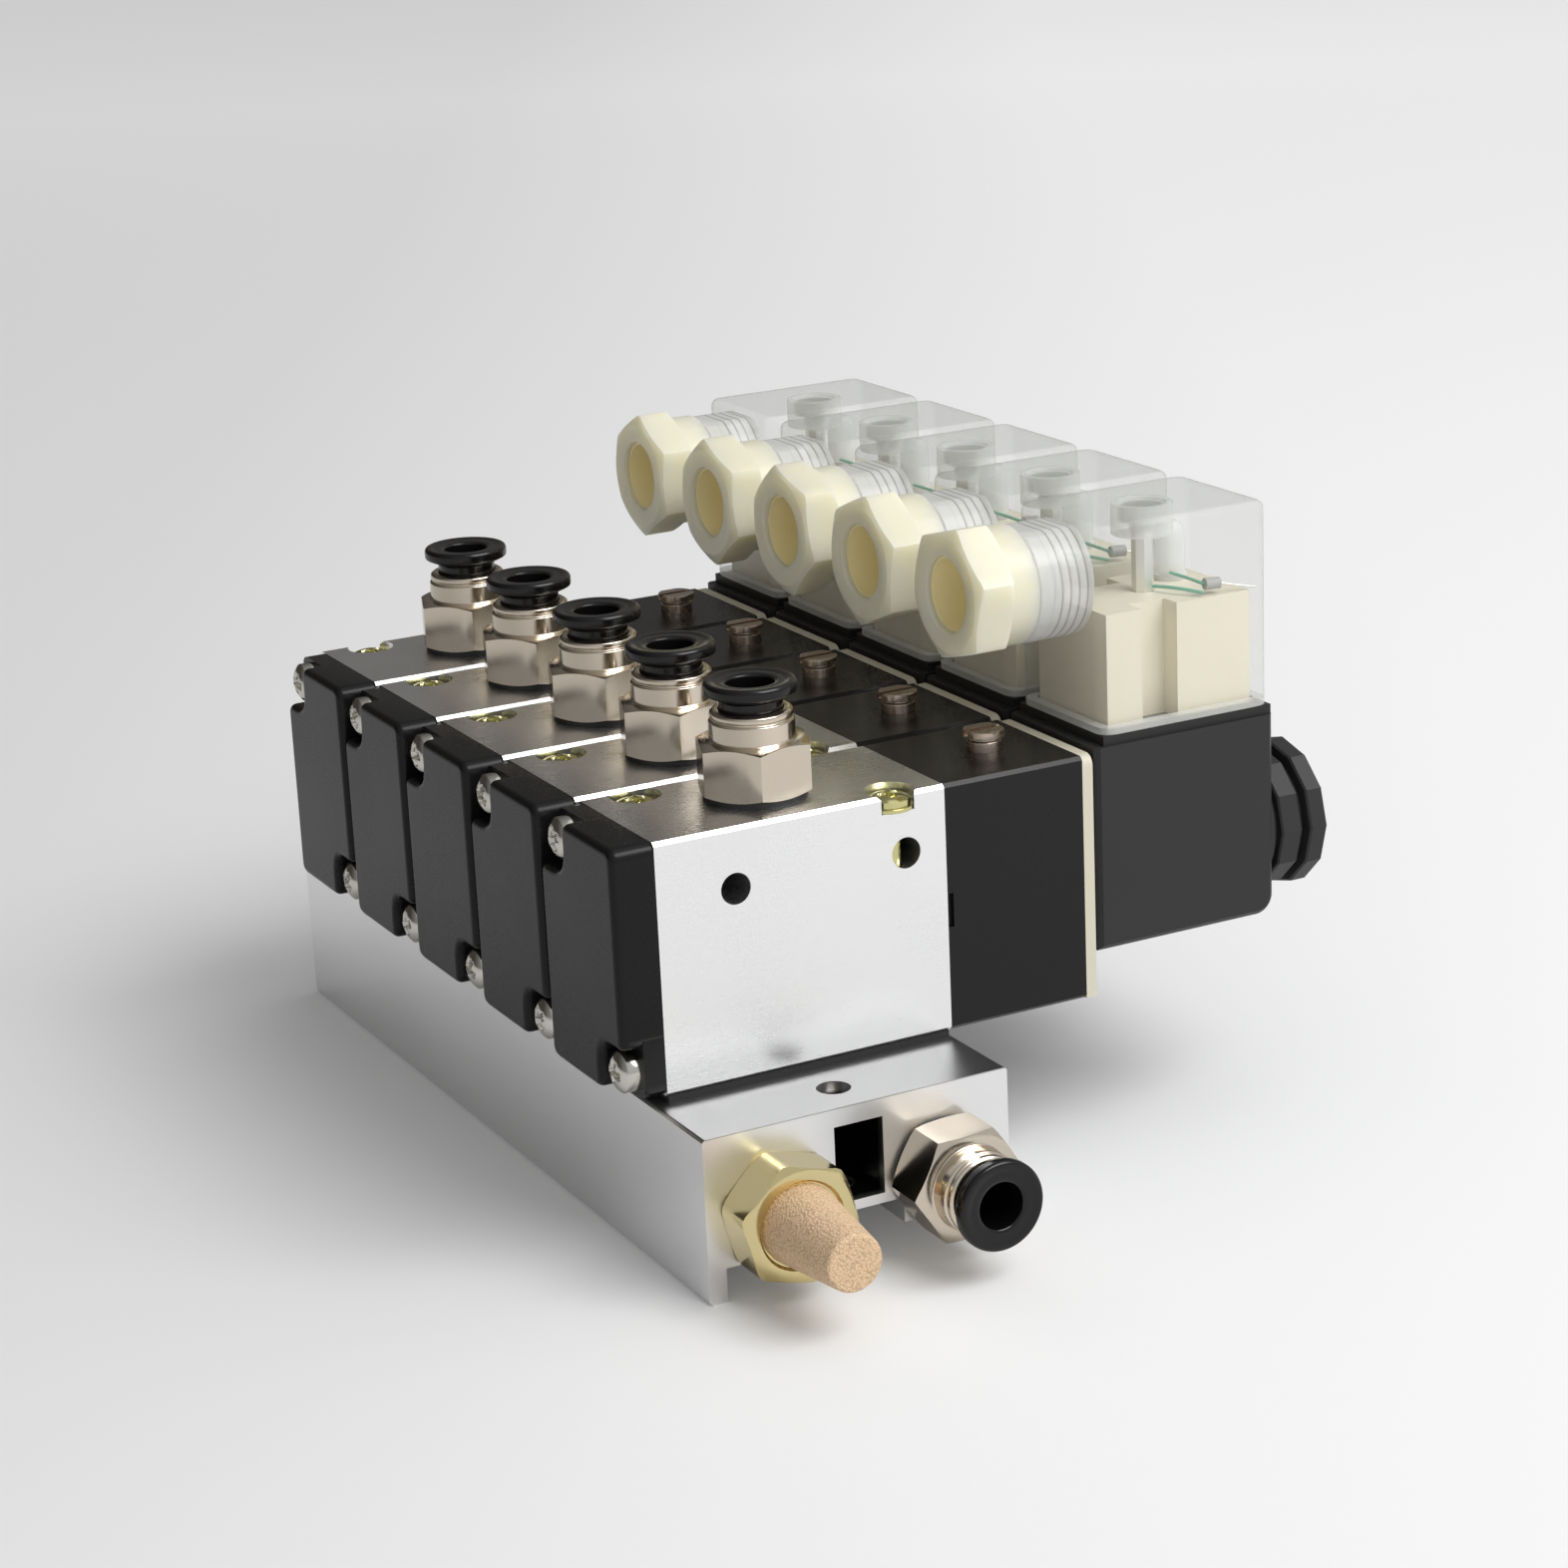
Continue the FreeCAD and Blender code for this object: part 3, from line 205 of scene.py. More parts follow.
def raised_forward(shape, plane):
    """A shape whose outline is given in Y and Z, raised towards -X from a plane. This mirrors it, so its faces
    are turned round."""
    points, faces = shape
    y, z, height = points.T
    return np.stack([plane - height, y, z], axis=1), [side[::-1] for side in faces]


def tube(path, radius, sides=10):
    """A wire: circles of the given radius carried along a path, each across the path's direction."""
    path = np.asarray(path, dtype=float)
    along = np.gradient(path, axis=0)
    along /= np.linalg.norm(along, axis=1, keepdims=True)
    off_every_wire = (0.31, 0.17, 0.93)
    side = np.cross(along, off_every_wire)
    side /= np.linalg.norm(side, axis=1, keepdims=True)
    up = np.cross(along, side)
    angle = circle_angles(sides)[None, :, None]
    return path[:, None] + radius * (np.cos(angle) * side[:, None] + np.sin(angle) * up[:, None])


def smooth_path(points, count=24):
    """A smooth line through a few points, by a cubic in the distance along them."""
    points = np.asarray(points, dtype=float)
    length = np.concatenate([[0], np.cumsum(np.linalg.norm(np.diff(points, axis=0), axis=1))])
    degree = min(3, len(points) - 1)
    at = np.linspace(0, length[-1], count)
    return np.stack([np.polyval(np.polyfit(length, column, degree), at) for column in points.T], axis=-1)


def cross_headed(radius, height, shoulder, arm, width, depth):
    """A pan head with a cross recess: a dome of height shoulder + rise (1 - (r/R)^3), less the recess, whose
    depth fades at the edges of two crossed arms and falls outwards."""
    end_fade, side_fade, shallowing = 0.18, 0.14, 0.35
    angle = circle_angles(56)
    # The rings lie close together across the recess and further apart out to the rim
    r = np.concatenate([np.linspace(0.04, arm * 1.25, 15), np.linspace(arm * 1.4, radius, 6)])[:, None]
    u, v = np.abs(r * np.cos(angle)), np.abs(r * np.sin(angle))

    def within(along, across):
        in_length = np.clip((arm - along) / end_fade + 0.5, 0, 1)
        return in_length * np.clip((width - across) / side_fade + 0.5, 0, 1)

    recess = np.maximum(within(u, v), within(v, u)) * depth * (1 - shallowing * r / arm)
    dome = shoulder + (height - shoulder) * (1 - (r / radius) ** 3)
    top = np.stack([r * np.cos(angle), r * np.sin(angle), dome - recess], axis=-1)[::-1]
    base = ring(radius, 0.0, angle)[None]
    return skin(np.concatenate([base, top]))


def slotted_disc(radius, low, high, slot, depth):
    """A round head cut by a slot: lines parallel with the slot, each a closed loop that runs over the top at
    the slot's height there, and back along the underside."""
    edge, rim, wall, lines, columns = 0.18, 0.35, 0.02, 9, 7
    half = slot / 2
    inner = np.array([-half, -half + wall, half - wall, half])
    outer = np.linspace(half + 2 * wall, radius * 0.998, lines)
    v = np.concatenate([-outer[::-1], inner, outer])
    in_slot = np.abs(v) < half - wall / 2
    top = np.where(in_slot, high - depth, high)
    reach = np.sqrt(np.maximum(radius**2 - v**2, 0))
    near_rim = edge * np.clip((np.abs(v) - (radius - rim)) / rim, 0, 1)
    across = np.linspace(-1, 1, columns)
    u = np.concatenate([[-1.0], across * 0.94, [1.0], [1.0, -1.0]])
    lift = np.concatenate([[-edge], np.zeros(columns), [-edge], [0.0, 0.0]])
    on_top = np.concatenate([np.ones(columns + 2), np.zeros(2)])
    height = on_top * (top[:, None] - near_rim[:, None] + lift) + (1 - on_top) * low
    loops = np.stack([reach[:, None] * u, np.repeat(v[:, None], len(u), axis=1), height], axis=-1)
    return skin(loops[:, ::-1])


# ---------------------------------------------------------------- pieces

FINISHES = {}


def finish_named(name):
    """The material of a name, made by the finishes operator."""
    if name not in FINISHES:
        raise RuntimeError("The finish %s has not been made yet" % name)
    return FINISHES[name]


def make_piece(name, shapes, finish, slot, body=HULL, replaces=(), sharp=32.0):
    """Puts shapes into one mesh, in metres, gives it its finish, hangs it on the empty of the body that carries
    it, and hides the CAD nodes that it stands for."""
    start, points, faces = 0, [], []
    for corners, sides in shapes:
        points.append(corners)
        faces += [[start + corner for corner in side] for side in sides]
        start += len(corners)
    mesh = bpy.data.meshes.new(name)
    mesh.from_pydata((np.vstack(points) * MM).tolist(), [], faces)
    mesh.validate()
    mesh.shade_smooth()
    mesh.set_sharp_from_angle(angle=math.radians(sharp))
    mesh.materials.append(finish_named(finish))
    piece = bpy.data.objects.new(name, mesh)
    bpy.context.scene.collection.objects.link(piece)
    if replaces:
        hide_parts(*replaces)
    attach(piece, body)


# ---------------------------------------------------------------- finishes

# Outputs of Blender's nodes, by their place
OBJECT_PLACE, SKY_DIRECTION = 3, 0  # Texture Coordinate
FACING = 1  # Layer Weight
DOT_PRODUCT = 1  # Vector Math
MIXED_COLOUR = 2  # Mix


class Value:
    """A number that varies over a surface. Arithmetic on it adds Math nodes."""

    def __init__(self, finish, socket):
        self.finish, self.socket = finish, socket

    def maths(self, operation, first, second=0.5):
        """Adds a Math node to one or two numbers."""
        return self.finish.node("ShaderNodeMath", {"operation": operation}, {0: first, 1: second})

    def __add__(self, other):
        return self.maths("ADD", self, other)

    __radd__ = __add__

    def __sub__(self, other):
        return self.maths("SUBTRACT", self, other)

    def __rsub__(self, other):
        return self.maths("SUBTRACT", other, self)

    def __mul__(self, other):
        return self.maths("MULTIPLY", self, other)

    __rmul__ = __mul__

    def __pow__(self, other):
        return self.maths("POWER", self, other)

    def sine(self):
        return self.maths("SINE", self)

    def size(self):
        return self.maths("ABSOLUTE", self)


class Finish:
    """A material, or the surroundings, in the making."""

    def __init__(self, name, surroundings=None, **constants):
        self.material = surroundings or bpy.data.materials.new(name)
        self.material.use_nodes = True
        self.tree = self.material.node_tree
        self.shader = self.tree.nodes["Background" if surroundings else "Principled BSDF"]
        for socket, value in constants.items():
            self.shader.inputs[socket.replace("_", " ")].default_value = value

    def node(self, kind, settings=None, inputs=None, output=0):
        """Adds a node of any kind, with its settings first and then the values or links of its sockets."""
        node = self.tree.nodes.new(kind)
        for name, value in (settings or {}).items():
            setattr(node, name, value)
        for name, value in (inputs or {}).items():
            if isinstance(value, Value):
                self.tree.links.new(value.socket, node.inputs[name])
            else:
                node.inputs[name].default_value = value
        return Value(self, node.outputs[output])

    def feed(self, socket, value):
        """Links a value to a socket of the shader."""
        self.tree.links.new(value.socket, self.shader.inputs[socket])
        return self

    def grain(self, scale, detail=3.0, stretch=(1, 1, 1)):
        """Noise over the object, scaled in turns per metre and stretched along its axes."""
        place = self.node("ShaderNodeTexCoord", output=OBJECT_PLACE)
        place = self.node("ShaderNodeMapping", {}, {"Vector": place, "Scale": stretch})
        return self.node("ShaderNodeTexNoise", {}, {"Vector": place, "Scale": scale, "Detail": detail})

    def along(self, axis, coordinates=OBJECT_PLACE):
        """How far a point, or a direction of the surroundings, lies along an axis."""
        place = self.node("ShaderNodeTexCoord", output=coordinates)
        settings, inputs = {"operation": "DOT_PRODUCT"}, {0: place, 1: axis}
        return self.node("ShaderNodeVectorMath", settings, inputs, DOT_PRODUCT)

    def share(self, value, low, high):
        """A value's place between two bounds, from 0 to 1."""
        return self.node("ShaderNodeMapRange", {}, {"Value": value, "From Min": low, "From Max": high})

    def cells(self, scale):
        """Distance to the nearest of many scattered points."""
        place = self.node("ShaderNodeTexCoord", output=OBJECT_PLACE)
        return self.node("ShaderNodeTexVoronoi", {}, {"Vector": place, "Scale": scale})

    def between(self, amount, first, second):
        """A colour between two colours."""
        inputs = {0: amount, 6: first, 7: second}
        return self.node("ShaderNodeMix", {"data_type": "RGBA"}, inputs, MIXED_COLOUR)

    def bumped(self, height, depth, strength=1.0):
        """Raises the surface by a height times a depth in metres."""
        inputs = {"Height": height, "Distance": depth, "Strength": strength}
        return self.feed("Normal", self.node("ShaderNodeBump", {}, inputs))


def shade(colour, factor):
    """A colour made darker or lighter."""
    return tuple(min(1.0, part * factor) for part in colour[:3]) + (1.0,)


GRAIN_DEPTH = 2e-6  # metres, of the lines in a metal
BROAD = 45.0  # turns per metre of a metal's slow unevenness


def metal(name, colour, roughness, stretch=(1, 1, 1), scale=900.0, swing=0.10):
    """A metal with fine grain: the grain shifts its roughness, its colour and its surface a little."""
    finish = Finish(name, Metallic=1.0)
    grain = finish.grain(scale, 4.0, stretch)
    broad = finish.grain(BROAD, 2.0)
    finish.feed("Roughness", grain * swing + broad * swing + (roughness - swing))
    finish.feed("Base Color", finish.between(broad * 0.6 + grain * 0.4, shade(colour, 0.94), shade(colour, 1.06)))
    return finish.bumped(grain, GRAIN_DEPTH).material


def extruded(name, colour, roughness):
    """Drawn aluminium, with lines along the manifold. Painted shade darkens its top and the inside of its window.
    """
    finish = Finish(name, Metallic=1.0)
    grain = finish.grain(60.0, 4.0, (60, 1, 60))
    broad = finish.grain(BROAD, 2.0)
    # The colour of the painted shade on the top and inside the window
    swing, painted_shade = 0.08, shade(colour, 0.02)
    finish.feed("Roughness", grain * swing + broad * swing + (roughness - swing))
    tone = finish.between(broad * 0.6 + grain * 0.4, shade(colour, 0.95), shade(colour, 1.04))
    low, high = span("manifold")
    # Painted shade on the top face: it mixes half way towards the shade colour
    top = finish.share(finish.along((0, 0, 1)), (high[2] - 0.2) * MM, (high[2] - 0.1) * MM)
    tone = finish.between(top * 0.5, tone, painted_shade)
    # Painted shade inside the window: the window is 8.6 mm wide and 12.8 mm high about this height, and runs in
    # from the ported end
    middle = 6.6 * MM
    window_shade_depth = finish.share(finish.along((0, 1, 0)), (low[1] + 0.1) * MM, (low[1] + 1.6) * MM)
    across = finish.share(finish.along((1, 0, 0)).size(), 4.4 * MM, 4.2 * MM)
    up = finish.share((finish.along((0, 0, 1)) - middle).size(), 6.6 * MM, 6.2 * MM)
    finish.feed("Base Color", finish.between(window_shade_depth * across * up * 0.93, tone, painted_shade))
    return finish.bumped(grain, GRAIN_DEPTH).material


def plastic(name, colour, roughness, depth=6e-6, tint=0.10, **constants):
    """A moulded plastic: a fine spark-worn grain, and a broad unevenness in its gloss and colour."""
    finish = Finish(name, **constants)
    grain = finish.grain(2600.0, 3.0)
    broad = finish.grain(60.0, 3.0)
    swing = 0.12
    finish.feed("Roughness", broad * swing + grain * (swing / 2) + (roughness - swing * 0.75))
    finish.feed("Base Color", finish.between(broad, shade(colour, 1 - tint), shade(colour, 1 + tint)))
    return finish.bumped(grain, depth).material


def clear(name, colour, thin, thick, roughness=0.08, pitch=None):
    """A clear moulded plastic: it lets more light through where it is seen face on than at its edges. Where a
    pitch is given, painted shade of thread grooves darkens it at that pitch along the cable's axis."""
    finish = Finish(name, Roughness=roughness)
    edge = finish.node("ShaderNodeLayerWeight", {}, {"Blend": 0.42}, FACING)
    broad = finish.grain(120.0, 2.0)
    finish.feed("Alpha", edge**2.2 * (thick - thin) + broad * (thin * 0.5) + thin * 0.75)
    tone = finish.between(broad, shade(colour, 0.97), colour)
    if pitch:
        # Painted shade of the thread grooves: dark lines at the pitch along the cable's axis
        groove = (finish.along((2 * math.pi / pitch, 0, 0)).sine() * 0.5 + 0.5) ** 7
        thread_start = (span("connector_housings")[0][0] + 1.9) * MM
        threaded = finish.share(finish.along((1, 0, 0)), thread_start, thread_start + MM)
        tone = finish.between(groove * threaded * 0.8, tone, shade(colour, 0.3))
    finish.feed("Base Color", tone)
    return finish.bumped(broad, 3e-5, 0.4).material


def sintered(name, colour):
    """Pressed bronze grains: small cells that stand up, with painted shade that makes them darker between."""
    finish = Finish(name, Metallic=0.2)
    cell = finish.cells(3000.0)
    broad = finish.grain(500.0, 3.0)
    # Painted shade in the pores between the grains
    painted_shade = finish.share(cell, 0.35, 0.8)
    light = finish.between(broad, shade(colour, 0.9), shade(colour, 1.1))
    finish.feed("Base Color", finish.between(painted_shade * 0.5, light, shade(colour, 0.45)))
    finish.feed("Roughness", painted_shade * 0.2 + 0.55)
    return finish.bumped(1 - cell, 1.3e-4).material


# ---------------------------------------------------------------- values that a user may change


def colour_property(name, description, colour):
    """A colour with its default."""
    return bpy.props.FloatVectorProperty(
        name=name, description=description, subtype="COLOR", size=4, min=0, max=1, default=(*colour, 1.0)
    )


def length_property(name, description, millimetres):
    """A length in metres, with its default given in millimetres."""
    return bpy.props.FloatProperty(
        name=name, description=description, default=millimetres * MM, min=0.0, precision=5, unit="LENGTH"
    )


def power_property(name, description, watts):
    """The power of a lamp, with its default."""
    return bpy.props.FloatProperty(name=name, description=description, default=watts, min=0.0, unit="POWER")


class IslandColours(bpy.types.PropertyGroup):
    """The colours of the island's finishes."""

    aluminium: colour_property("Aluminium", "Satin aluminium of the manifold and valves", (0.87, 0.87, 0.87))
    black: colour_property("Black plastic", "End caps and coils", (0.012, 0.012, 0.0125))
    gloss: colour_property("Glossy black", "Pilot bodies and collars", (0.007, 0.006, 0.006))
    cream: colour_property("Cream plastic", "Terminal blocks and plates", (0.86, 0.80, 0.64))
    nylon: colour_property("Nylon", "Cable gland nuts", (0.80, 0.745, 0.575))
    clear: colour_property("Clear plastic", "Connector housings", (0.58, 0.60, 0.56))
    nickel: colour_property("Nickel", "Push-in fittings", (0.67, 0.59, 0.49))
    copper: colour_property("Copper", "Override buttons", (0.62, 0.51, 0.42))
    zinc: colour_property("Yellow zinc", "Screws that hold the valves", (0.66, 0.62, 0.30))
    brass: colour_property("Brass", "Silencer body", (0.72, 0.61, 0.32))
    bronze: colour_property("Sintered bronze", "Silencer cone", (0.80, 0.57, 0.36))
    green: colour_property("Green wire", "Insulation of the lamp's wires", (0.20, 0.50, 0.36))


class IslandSizes(bpy.types.PropertyGroup):
    """Sizes that only the looks use."""

    edge: length_property("Moulded edge", "Rounding of the end caps' front edges", 1.0)
    thread_pitch: length_property("Thread pitch", "Pitch of the grooves in the cable stubs", 1.3)
    washer: length_property("Washer", "Radius of the washers in the counterbores", 3.2)
    wire: length_property("Wire", "Radius of the lamp's wires", 0.24)


class IslandStage(bpy.types.PropertyGroup):
    """The studio."""

    floor: colour_property("Floor", "Floor and backdrop", (0.80, 0.80, 0.80))
    pale: colour_property("Pale side", "Surroundings in front of the island", (0.86, 0.87, 0.88))
    dim: colour_property("Dim side", "Surroundings behind the island", (0.10, 0.088, 0.074))
    backdrop: colour_property("Backdrop", "Surroundings as the camera sees them", (0.82, 0.82, 0.82))
    world: bpy.props.FloatProperty(name="Ambient", description="Light from all around", default=0.68, min=0.0)
    key: power_property("Key", "Power of the lamp in front", 13.2)
    top: power_property("Top", "Power of the lamp above", 1.8)


# ---------------------------------------------------------------- operators

# The finish of each CAD node, or of each family of numbered nodes
NODE_FINISHES = {
    "manifold": "extruded", "valve_body": "satin", "valve_gaskets": "rubber", "end_caps": "caps",
    "cap_screws": "screw", "valve_mount_screws": "zinc", "pilot_bodies": "pilot", "pilot_screws": "screw",
    "armature_plates": "cream", "armature_tubes": "steel", "coil_seals": "rubber", "coil_pins": "tin",
    "coil_nuts": "coil", "connector_gaskets": "rubber", "connector_housings": "clear",
    "terminal_inserts": "insert", "led_lamps": "lamp", "connector_screws": "tin", "gland_nuts": "nylon",
    "port_fittings": "nickel", "port_seals": "rubber", "silencer_body": "brass", "silencer_cone": "bronze",
    "manifold_plugs": "screw", "supply_fitting": "nickel", "spool_springs": "steel", "plunger_springs": "steel",
    "button_springs": "steel", "coil": "coil", "spool": "steel", "plunger": "steel", "override_button": "copper",
    "port_collar": "collar", "supply_collar": "collar",
}


class ISLAND_OT_finishes(bpy.types.Operator):
    """Makes every finish and puts one on each of the solid parts"""

    bl_idname = "island.finishes"
    bl_label = "Finishes"

    def execute(self, context):
        hue, sizes = context.scene.island_colours, context.scene.island_sizes
        # Light passes some millimetres through nylon
        glow = {"Subsurface_Weight": 0.85, "Subsurface_Scale": 0.007, "Subsurface_Radius": (1.0, 0.85, 0.5)}
        stub, lens = (0.86, 0.86, 0.84, 1), (0.92, 0.94, 0.93, 1)
        made = {
            "extruded": extruded("extruded_aluminium", shade(hue.aluminium, 1.04), 0.31),
            "satin": metal("satin_aluminium", shade(hue.aluminium, 1.08), 0.28, (1, 14, 14), 260.0, 0.08),
            "caps": plastic("cap_plastic", shade(hue.black, 0.6), 0.27, 2e-6, Specular_IOR_Level=0.2),
            "coil": plastic("coil_plastic", shade(hue.black, 2.0), 0.46, Specular_IOR_Level=0.35),
            "pilot": plastic("pilot_plastic", hue.gloss, 0.26, 2e-6, Specular_IOR_Level=0.3),
            "collar": plastic("collar_plastic", shade(hue.gloss, 0.6), 0.2, 1e-6, Specular_IOR_Level=0.4),
            "rubber": plastic("black_rubber", (0.012, 0.012, 0.012, 1), 0.6),
            "resistor": plastic("resistor_body", (0.42, 0.42, 0.40, 1), 0.5),
            "cream": plastic("cream_plate", shade(hue.cream, 0.76), 0.45, tint=0.04),
            "insert": plastic("insert_plastic", shade(hue.cream, 0.98), 0.40, tint=0.04),
            "nylon": plastic("gland_nylon", hue.nylon, 0.38, tint=0.04, **glow),
            # Painted glow: a sleeve in each gland nut's bore, brighter and warmer than the nut, stands for light
            # that comes through the nylon
            "painted_glow_sleeve": plastic("gland_painted_glow", (0.98, 0.86, 0.50, 1), 0.5, tint=0.04),
            "clear": clear("clear_plastic", shade(hue.clear, 1.08), 0.08, 0.80),
            "milky": clear("milky_plastic", (0.93, 0.94, 0.92, 1), 0.32, 0.7, 0.2),
            "ringed": clear("ringed_plastic", stub, 0.5, 0.95, 0.2, sizes.thread_pitch),
            "lamp": clear("lamp_lens", lens, 0.5, 0.9),
            "nickel": metal("nickel_plate", hue.nickel, 0.17, swing=0.06),
            "screw": metal("nickel_screw", (0.62, 0.60, 0.55, 1), 0.16, swing=0.06),
            "zinc": metal("yellow_zinc", hue.zinc, 0.15, swing=0.06),
            "steel": metal("turned_steel", (0.60, 0.60, 0.60, 1), 0.28),
            "tin": metal("tinned_blade", (0.86, 0.86, 0.83, 1), 0.34),
            "copper": metal("copper_button", hue.copper, 0.26, swing=0.08),
            "brass": metal("brass", hue.brass, 0.16, swing=0.06),
            "bronze": sintered("sintered_bronze", hue.bronze),
            "green": plastic("green_insulation", hue.green, 0.4),
        }
        FINISHES.clear()
        FINISHES.update(made)
        for name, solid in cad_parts.items():
            family = name.rstrip("0123456789").rstrip("_")
            solid.data.materials.clear()
            solid.data.materials.append(finish_named(NODE_FINISHES[family]))
        return {"FINISHED"}


class ISLAND_OT_end_caps(bpy.types.Operator):
    """Moulded end caps: a flange with a raised middle that leaves a pocket at two corners for the screws"""

    bl_idname = "island.end_caps"
    bl_label = "End caps"

    def execute(self, context):
        edge = context.scene.island_sizes.edge / MM
        gap, flange_depth, pocket = 0.05, 3.0, 7.0
        corner_round, pocket_round, pocket_edge_round = 1.9, 3.3, 1.7
        # One for each corner of the raised middle, from the lower pocket on
        roundings = 2 * (pocket_edge_round, pocket_round, pocket_edge_round, corner_round)
        (front, _, bottom), (back, _, top) = span("end_caps")
        half = np.ptp(span(STATIONS[0]), axis=0)[1] / 2
        shapes = []
        for y in STATION_Y:
            left, right = y - half, y + half
            flange = rectangle((left + gap, bottom + gap), (right - gap, top - gap))
            flange = softened(flange, corner_round, looped=True)
            shapes.append(raised_forward(skin(prism(flange, [(0, 0), (flange_depth, 0)])), back))
            lower, upper = bottom + pocket, top - pocket
            middle = [
                (left, lower), (left + pocket, lower), (left + pocket, bottom), (right, bottom),
                (right, upper), (right - pocket, upper), (right - pocket, top), (left, top),
            ]
            middle = softened(middle, roundings, looped=True, steps=6)
            shapes.append(raised_forward(skin(prism(middle, rounded_top(0, back - front, edge))), back))
        make_piece("cap_mouldings", shapes, "caps", "satin_black_plastic", replaces=["end_caps"])
        return {"FINISHED"}


class ISLAND_OT_cap_screws(bpy.types.Operator):
    """Pan-head screws with a cross recess, two in each end cap"""

    bl_idname = "island.cap_screws"
    bl_label = "End cap screws"

    def execute(self, context):
        cap_low, cap_high = span("end_caps")
        seat_x = span("cap_screws")[0][0] + 2.1
        aside, inset = 7.3, 3.3  # from the valve's centre line, and from the cap's top and bottom
        points, faces = cross_headed(radius=2.8, height=2.7, shoulder=1.7, arm=1.5, width=0.45, depth=1.2)
        shank = skin(turned([(-5.0, 1.38), (0.2, 1.38)], 16))
        places = [(aside, cap_high[2] - inset), (-aside, cap_low[2] + inset)]
        shapes = []
        for station, y in enumerate(STATION_Y):
            for place, (across, z) in enumerate(places):
                # Each screw stands at a turn of its own
                turn = math.radians(23 + 37 * station + 61 * place)
                cosine, sine = math.cos(turn), math.sin(turn)
                head = points @ np.array([[cosine, sine, 0], [-sine, cosine, 0], [0, 0, 1]])
                seat = (seat_x, y + across, z)
                shapes += [stood((head, faces), "-X", seat), stood(shank, "-X", seat)]
        make_piece("cap_screw_heads", shapes, "screw", "nickel_screw", replaces=["cap_screws"], sharp=50)
        return {"FINISHED"}


class ISLAND_OT_mount_screws(bpy.types.Operator):
    """Yellow screws on washers in the counterbores of the valves"""

    bl_idname = "island.mount_screws"
    bl_label = "Valve screws"

    def execute(self, context):
        washer, bore, thickness = context.scene.island_sizes.washer / MM, 1.5, 0.55
        (_, _, low_z), (_, _, high_z) = span("valve_mount_screws")
        head_height, aside = 2.0, 8.6
        seat_z = high_z - head_height
        (left, _, _), (right, _, _) = span(STATIONS[0])
        head = cross_headed(radius=2.8, height=head_height, shoulder=1.4, arm=1.5, width=0.42, depth=1.0)
        shank = skin(turned([(low_z - seat_z, 1.36), (0.2, 1.36)], 16))
        section = [(0.0, bore), (0.0, washer), (thickness, washer), (thickness, bore)]
        disc = skin(turned(softened(section, 0.1, looped=True), 40), looped=True)
        shapes = []
        for y in STATION_Y:
            for seat in ((left + 7.0, y + aside, seat_z), (right - 6.9, y - aside, seat_z)):
                shapes += [stood(shape, "+Z", seat) for shape in (head, shank, disc)]
        make_piece("valve_screws", shapes, "zinc", "yellow_zinc", replaces=["valve_mount_screws"], sharp=50)
        return {"FINISHED"}


def fitting_shape(turn):
    """A push-in fitting above its seal: a chamfered hexagon, a neck with one groove, and the mouth's bore."""
    flats, height, bore = 14.0, 7.0, 4.26
    angle = nut_angles(6, turn)
    edge = polygon_radius(angle, 6, flats, turn, 0.99)
    rows = chamfered_rows(edge, angle, 0.0, height, flats / 2 - 0.1, 0.5)
    # Points as (height above the hexagon, radius)
    neck = [(0.0, 6.0), (0.1, 5.6), (2.55, 5.6), (2.7, 5.25), (2.95, 5.25)]
    mouth = [(3.1, 5.45), (3.7, 5.4), (4.0, 4.95), (4.0, bore), (-5.6, bore)]
    above = softened([(height + rise, radius) for rise, radius in neck + mouth], 0.14)
    return skin(rows + [ring(radius, level, angle) for level, radius in above])


def collar_shape():
    """A release collar above the fitting's mouth: a sleeve, and a flared disc with a rounded rim and a dished
    face. Points as (height, radius)."""
    sleeve = [(-7.4, 3.1), (-7.4, 4.18), (1.3, 4.18)]
    rim = [(1.95, 5.7), (2.15, 6.08), (3.3, 6.08), (COLLAR_RISE - 0.01, 5.75)]
    dish = [(3.66, 5.2), (3.5, 4.6), (3.5, 3.7), (3.3, 3.1)]
    return skin(turned(softened(sleeve + rim + dish, 0.25, looped=True), 72), looped=True)


class ISLAND_OT_fittings(bpy.types.Operator):
    """Push-in fittings of the outlets and of the supply, with black discs in their mouths: partly the seals,
    partly painted shade of the deep bores
    """

    bl_idname = "island.fittings"
    bl_label = "Push-in fittings"

    def execute(self, context):
        seal_low, seal_high = span("port_seals")
        outlets = [(centre("port_collar_1")[0], y, seal_high[2]) for y in STATION_Y]
        supply_x, _, supply_z = centre("supply_collar")
        supply = (supply_x, seal_low[1], supply_z)
        shapes = [stood(fitting_shape(10), "+Z", seat) for seat in outlets]
        make_piece("outlet_fittings", shapes, "nickel", "nickel_plate", replaces=["port_fittings"])
        shapes = [stood(fitting_shape(3), "-Y", supply)]
        make_piece("supply_port", shapes, "nickel", "nickel_plate", replaces=["supply_fitting"])
        # Black discs at the foot of each mouth: partly the rubber seal, partly painted shade where the bore runs
        # deep
        cup = skin(turned([(1.45, 0.02), (1.45, 4.2), (2.1, 4.2), (2.1, 3.4), (1.8, 3.0), (1.8, 0.02)], 40))
        seal_and_shade_discs = [stood(cup, "+Z", seat) for seat in outlets] + [stood(cup, "-Y", supply)]
        make_piece("seals_and_bore_shade", seal_and_shade_discs, "rubber", "black_rubber")
        return {"FINISHED"}


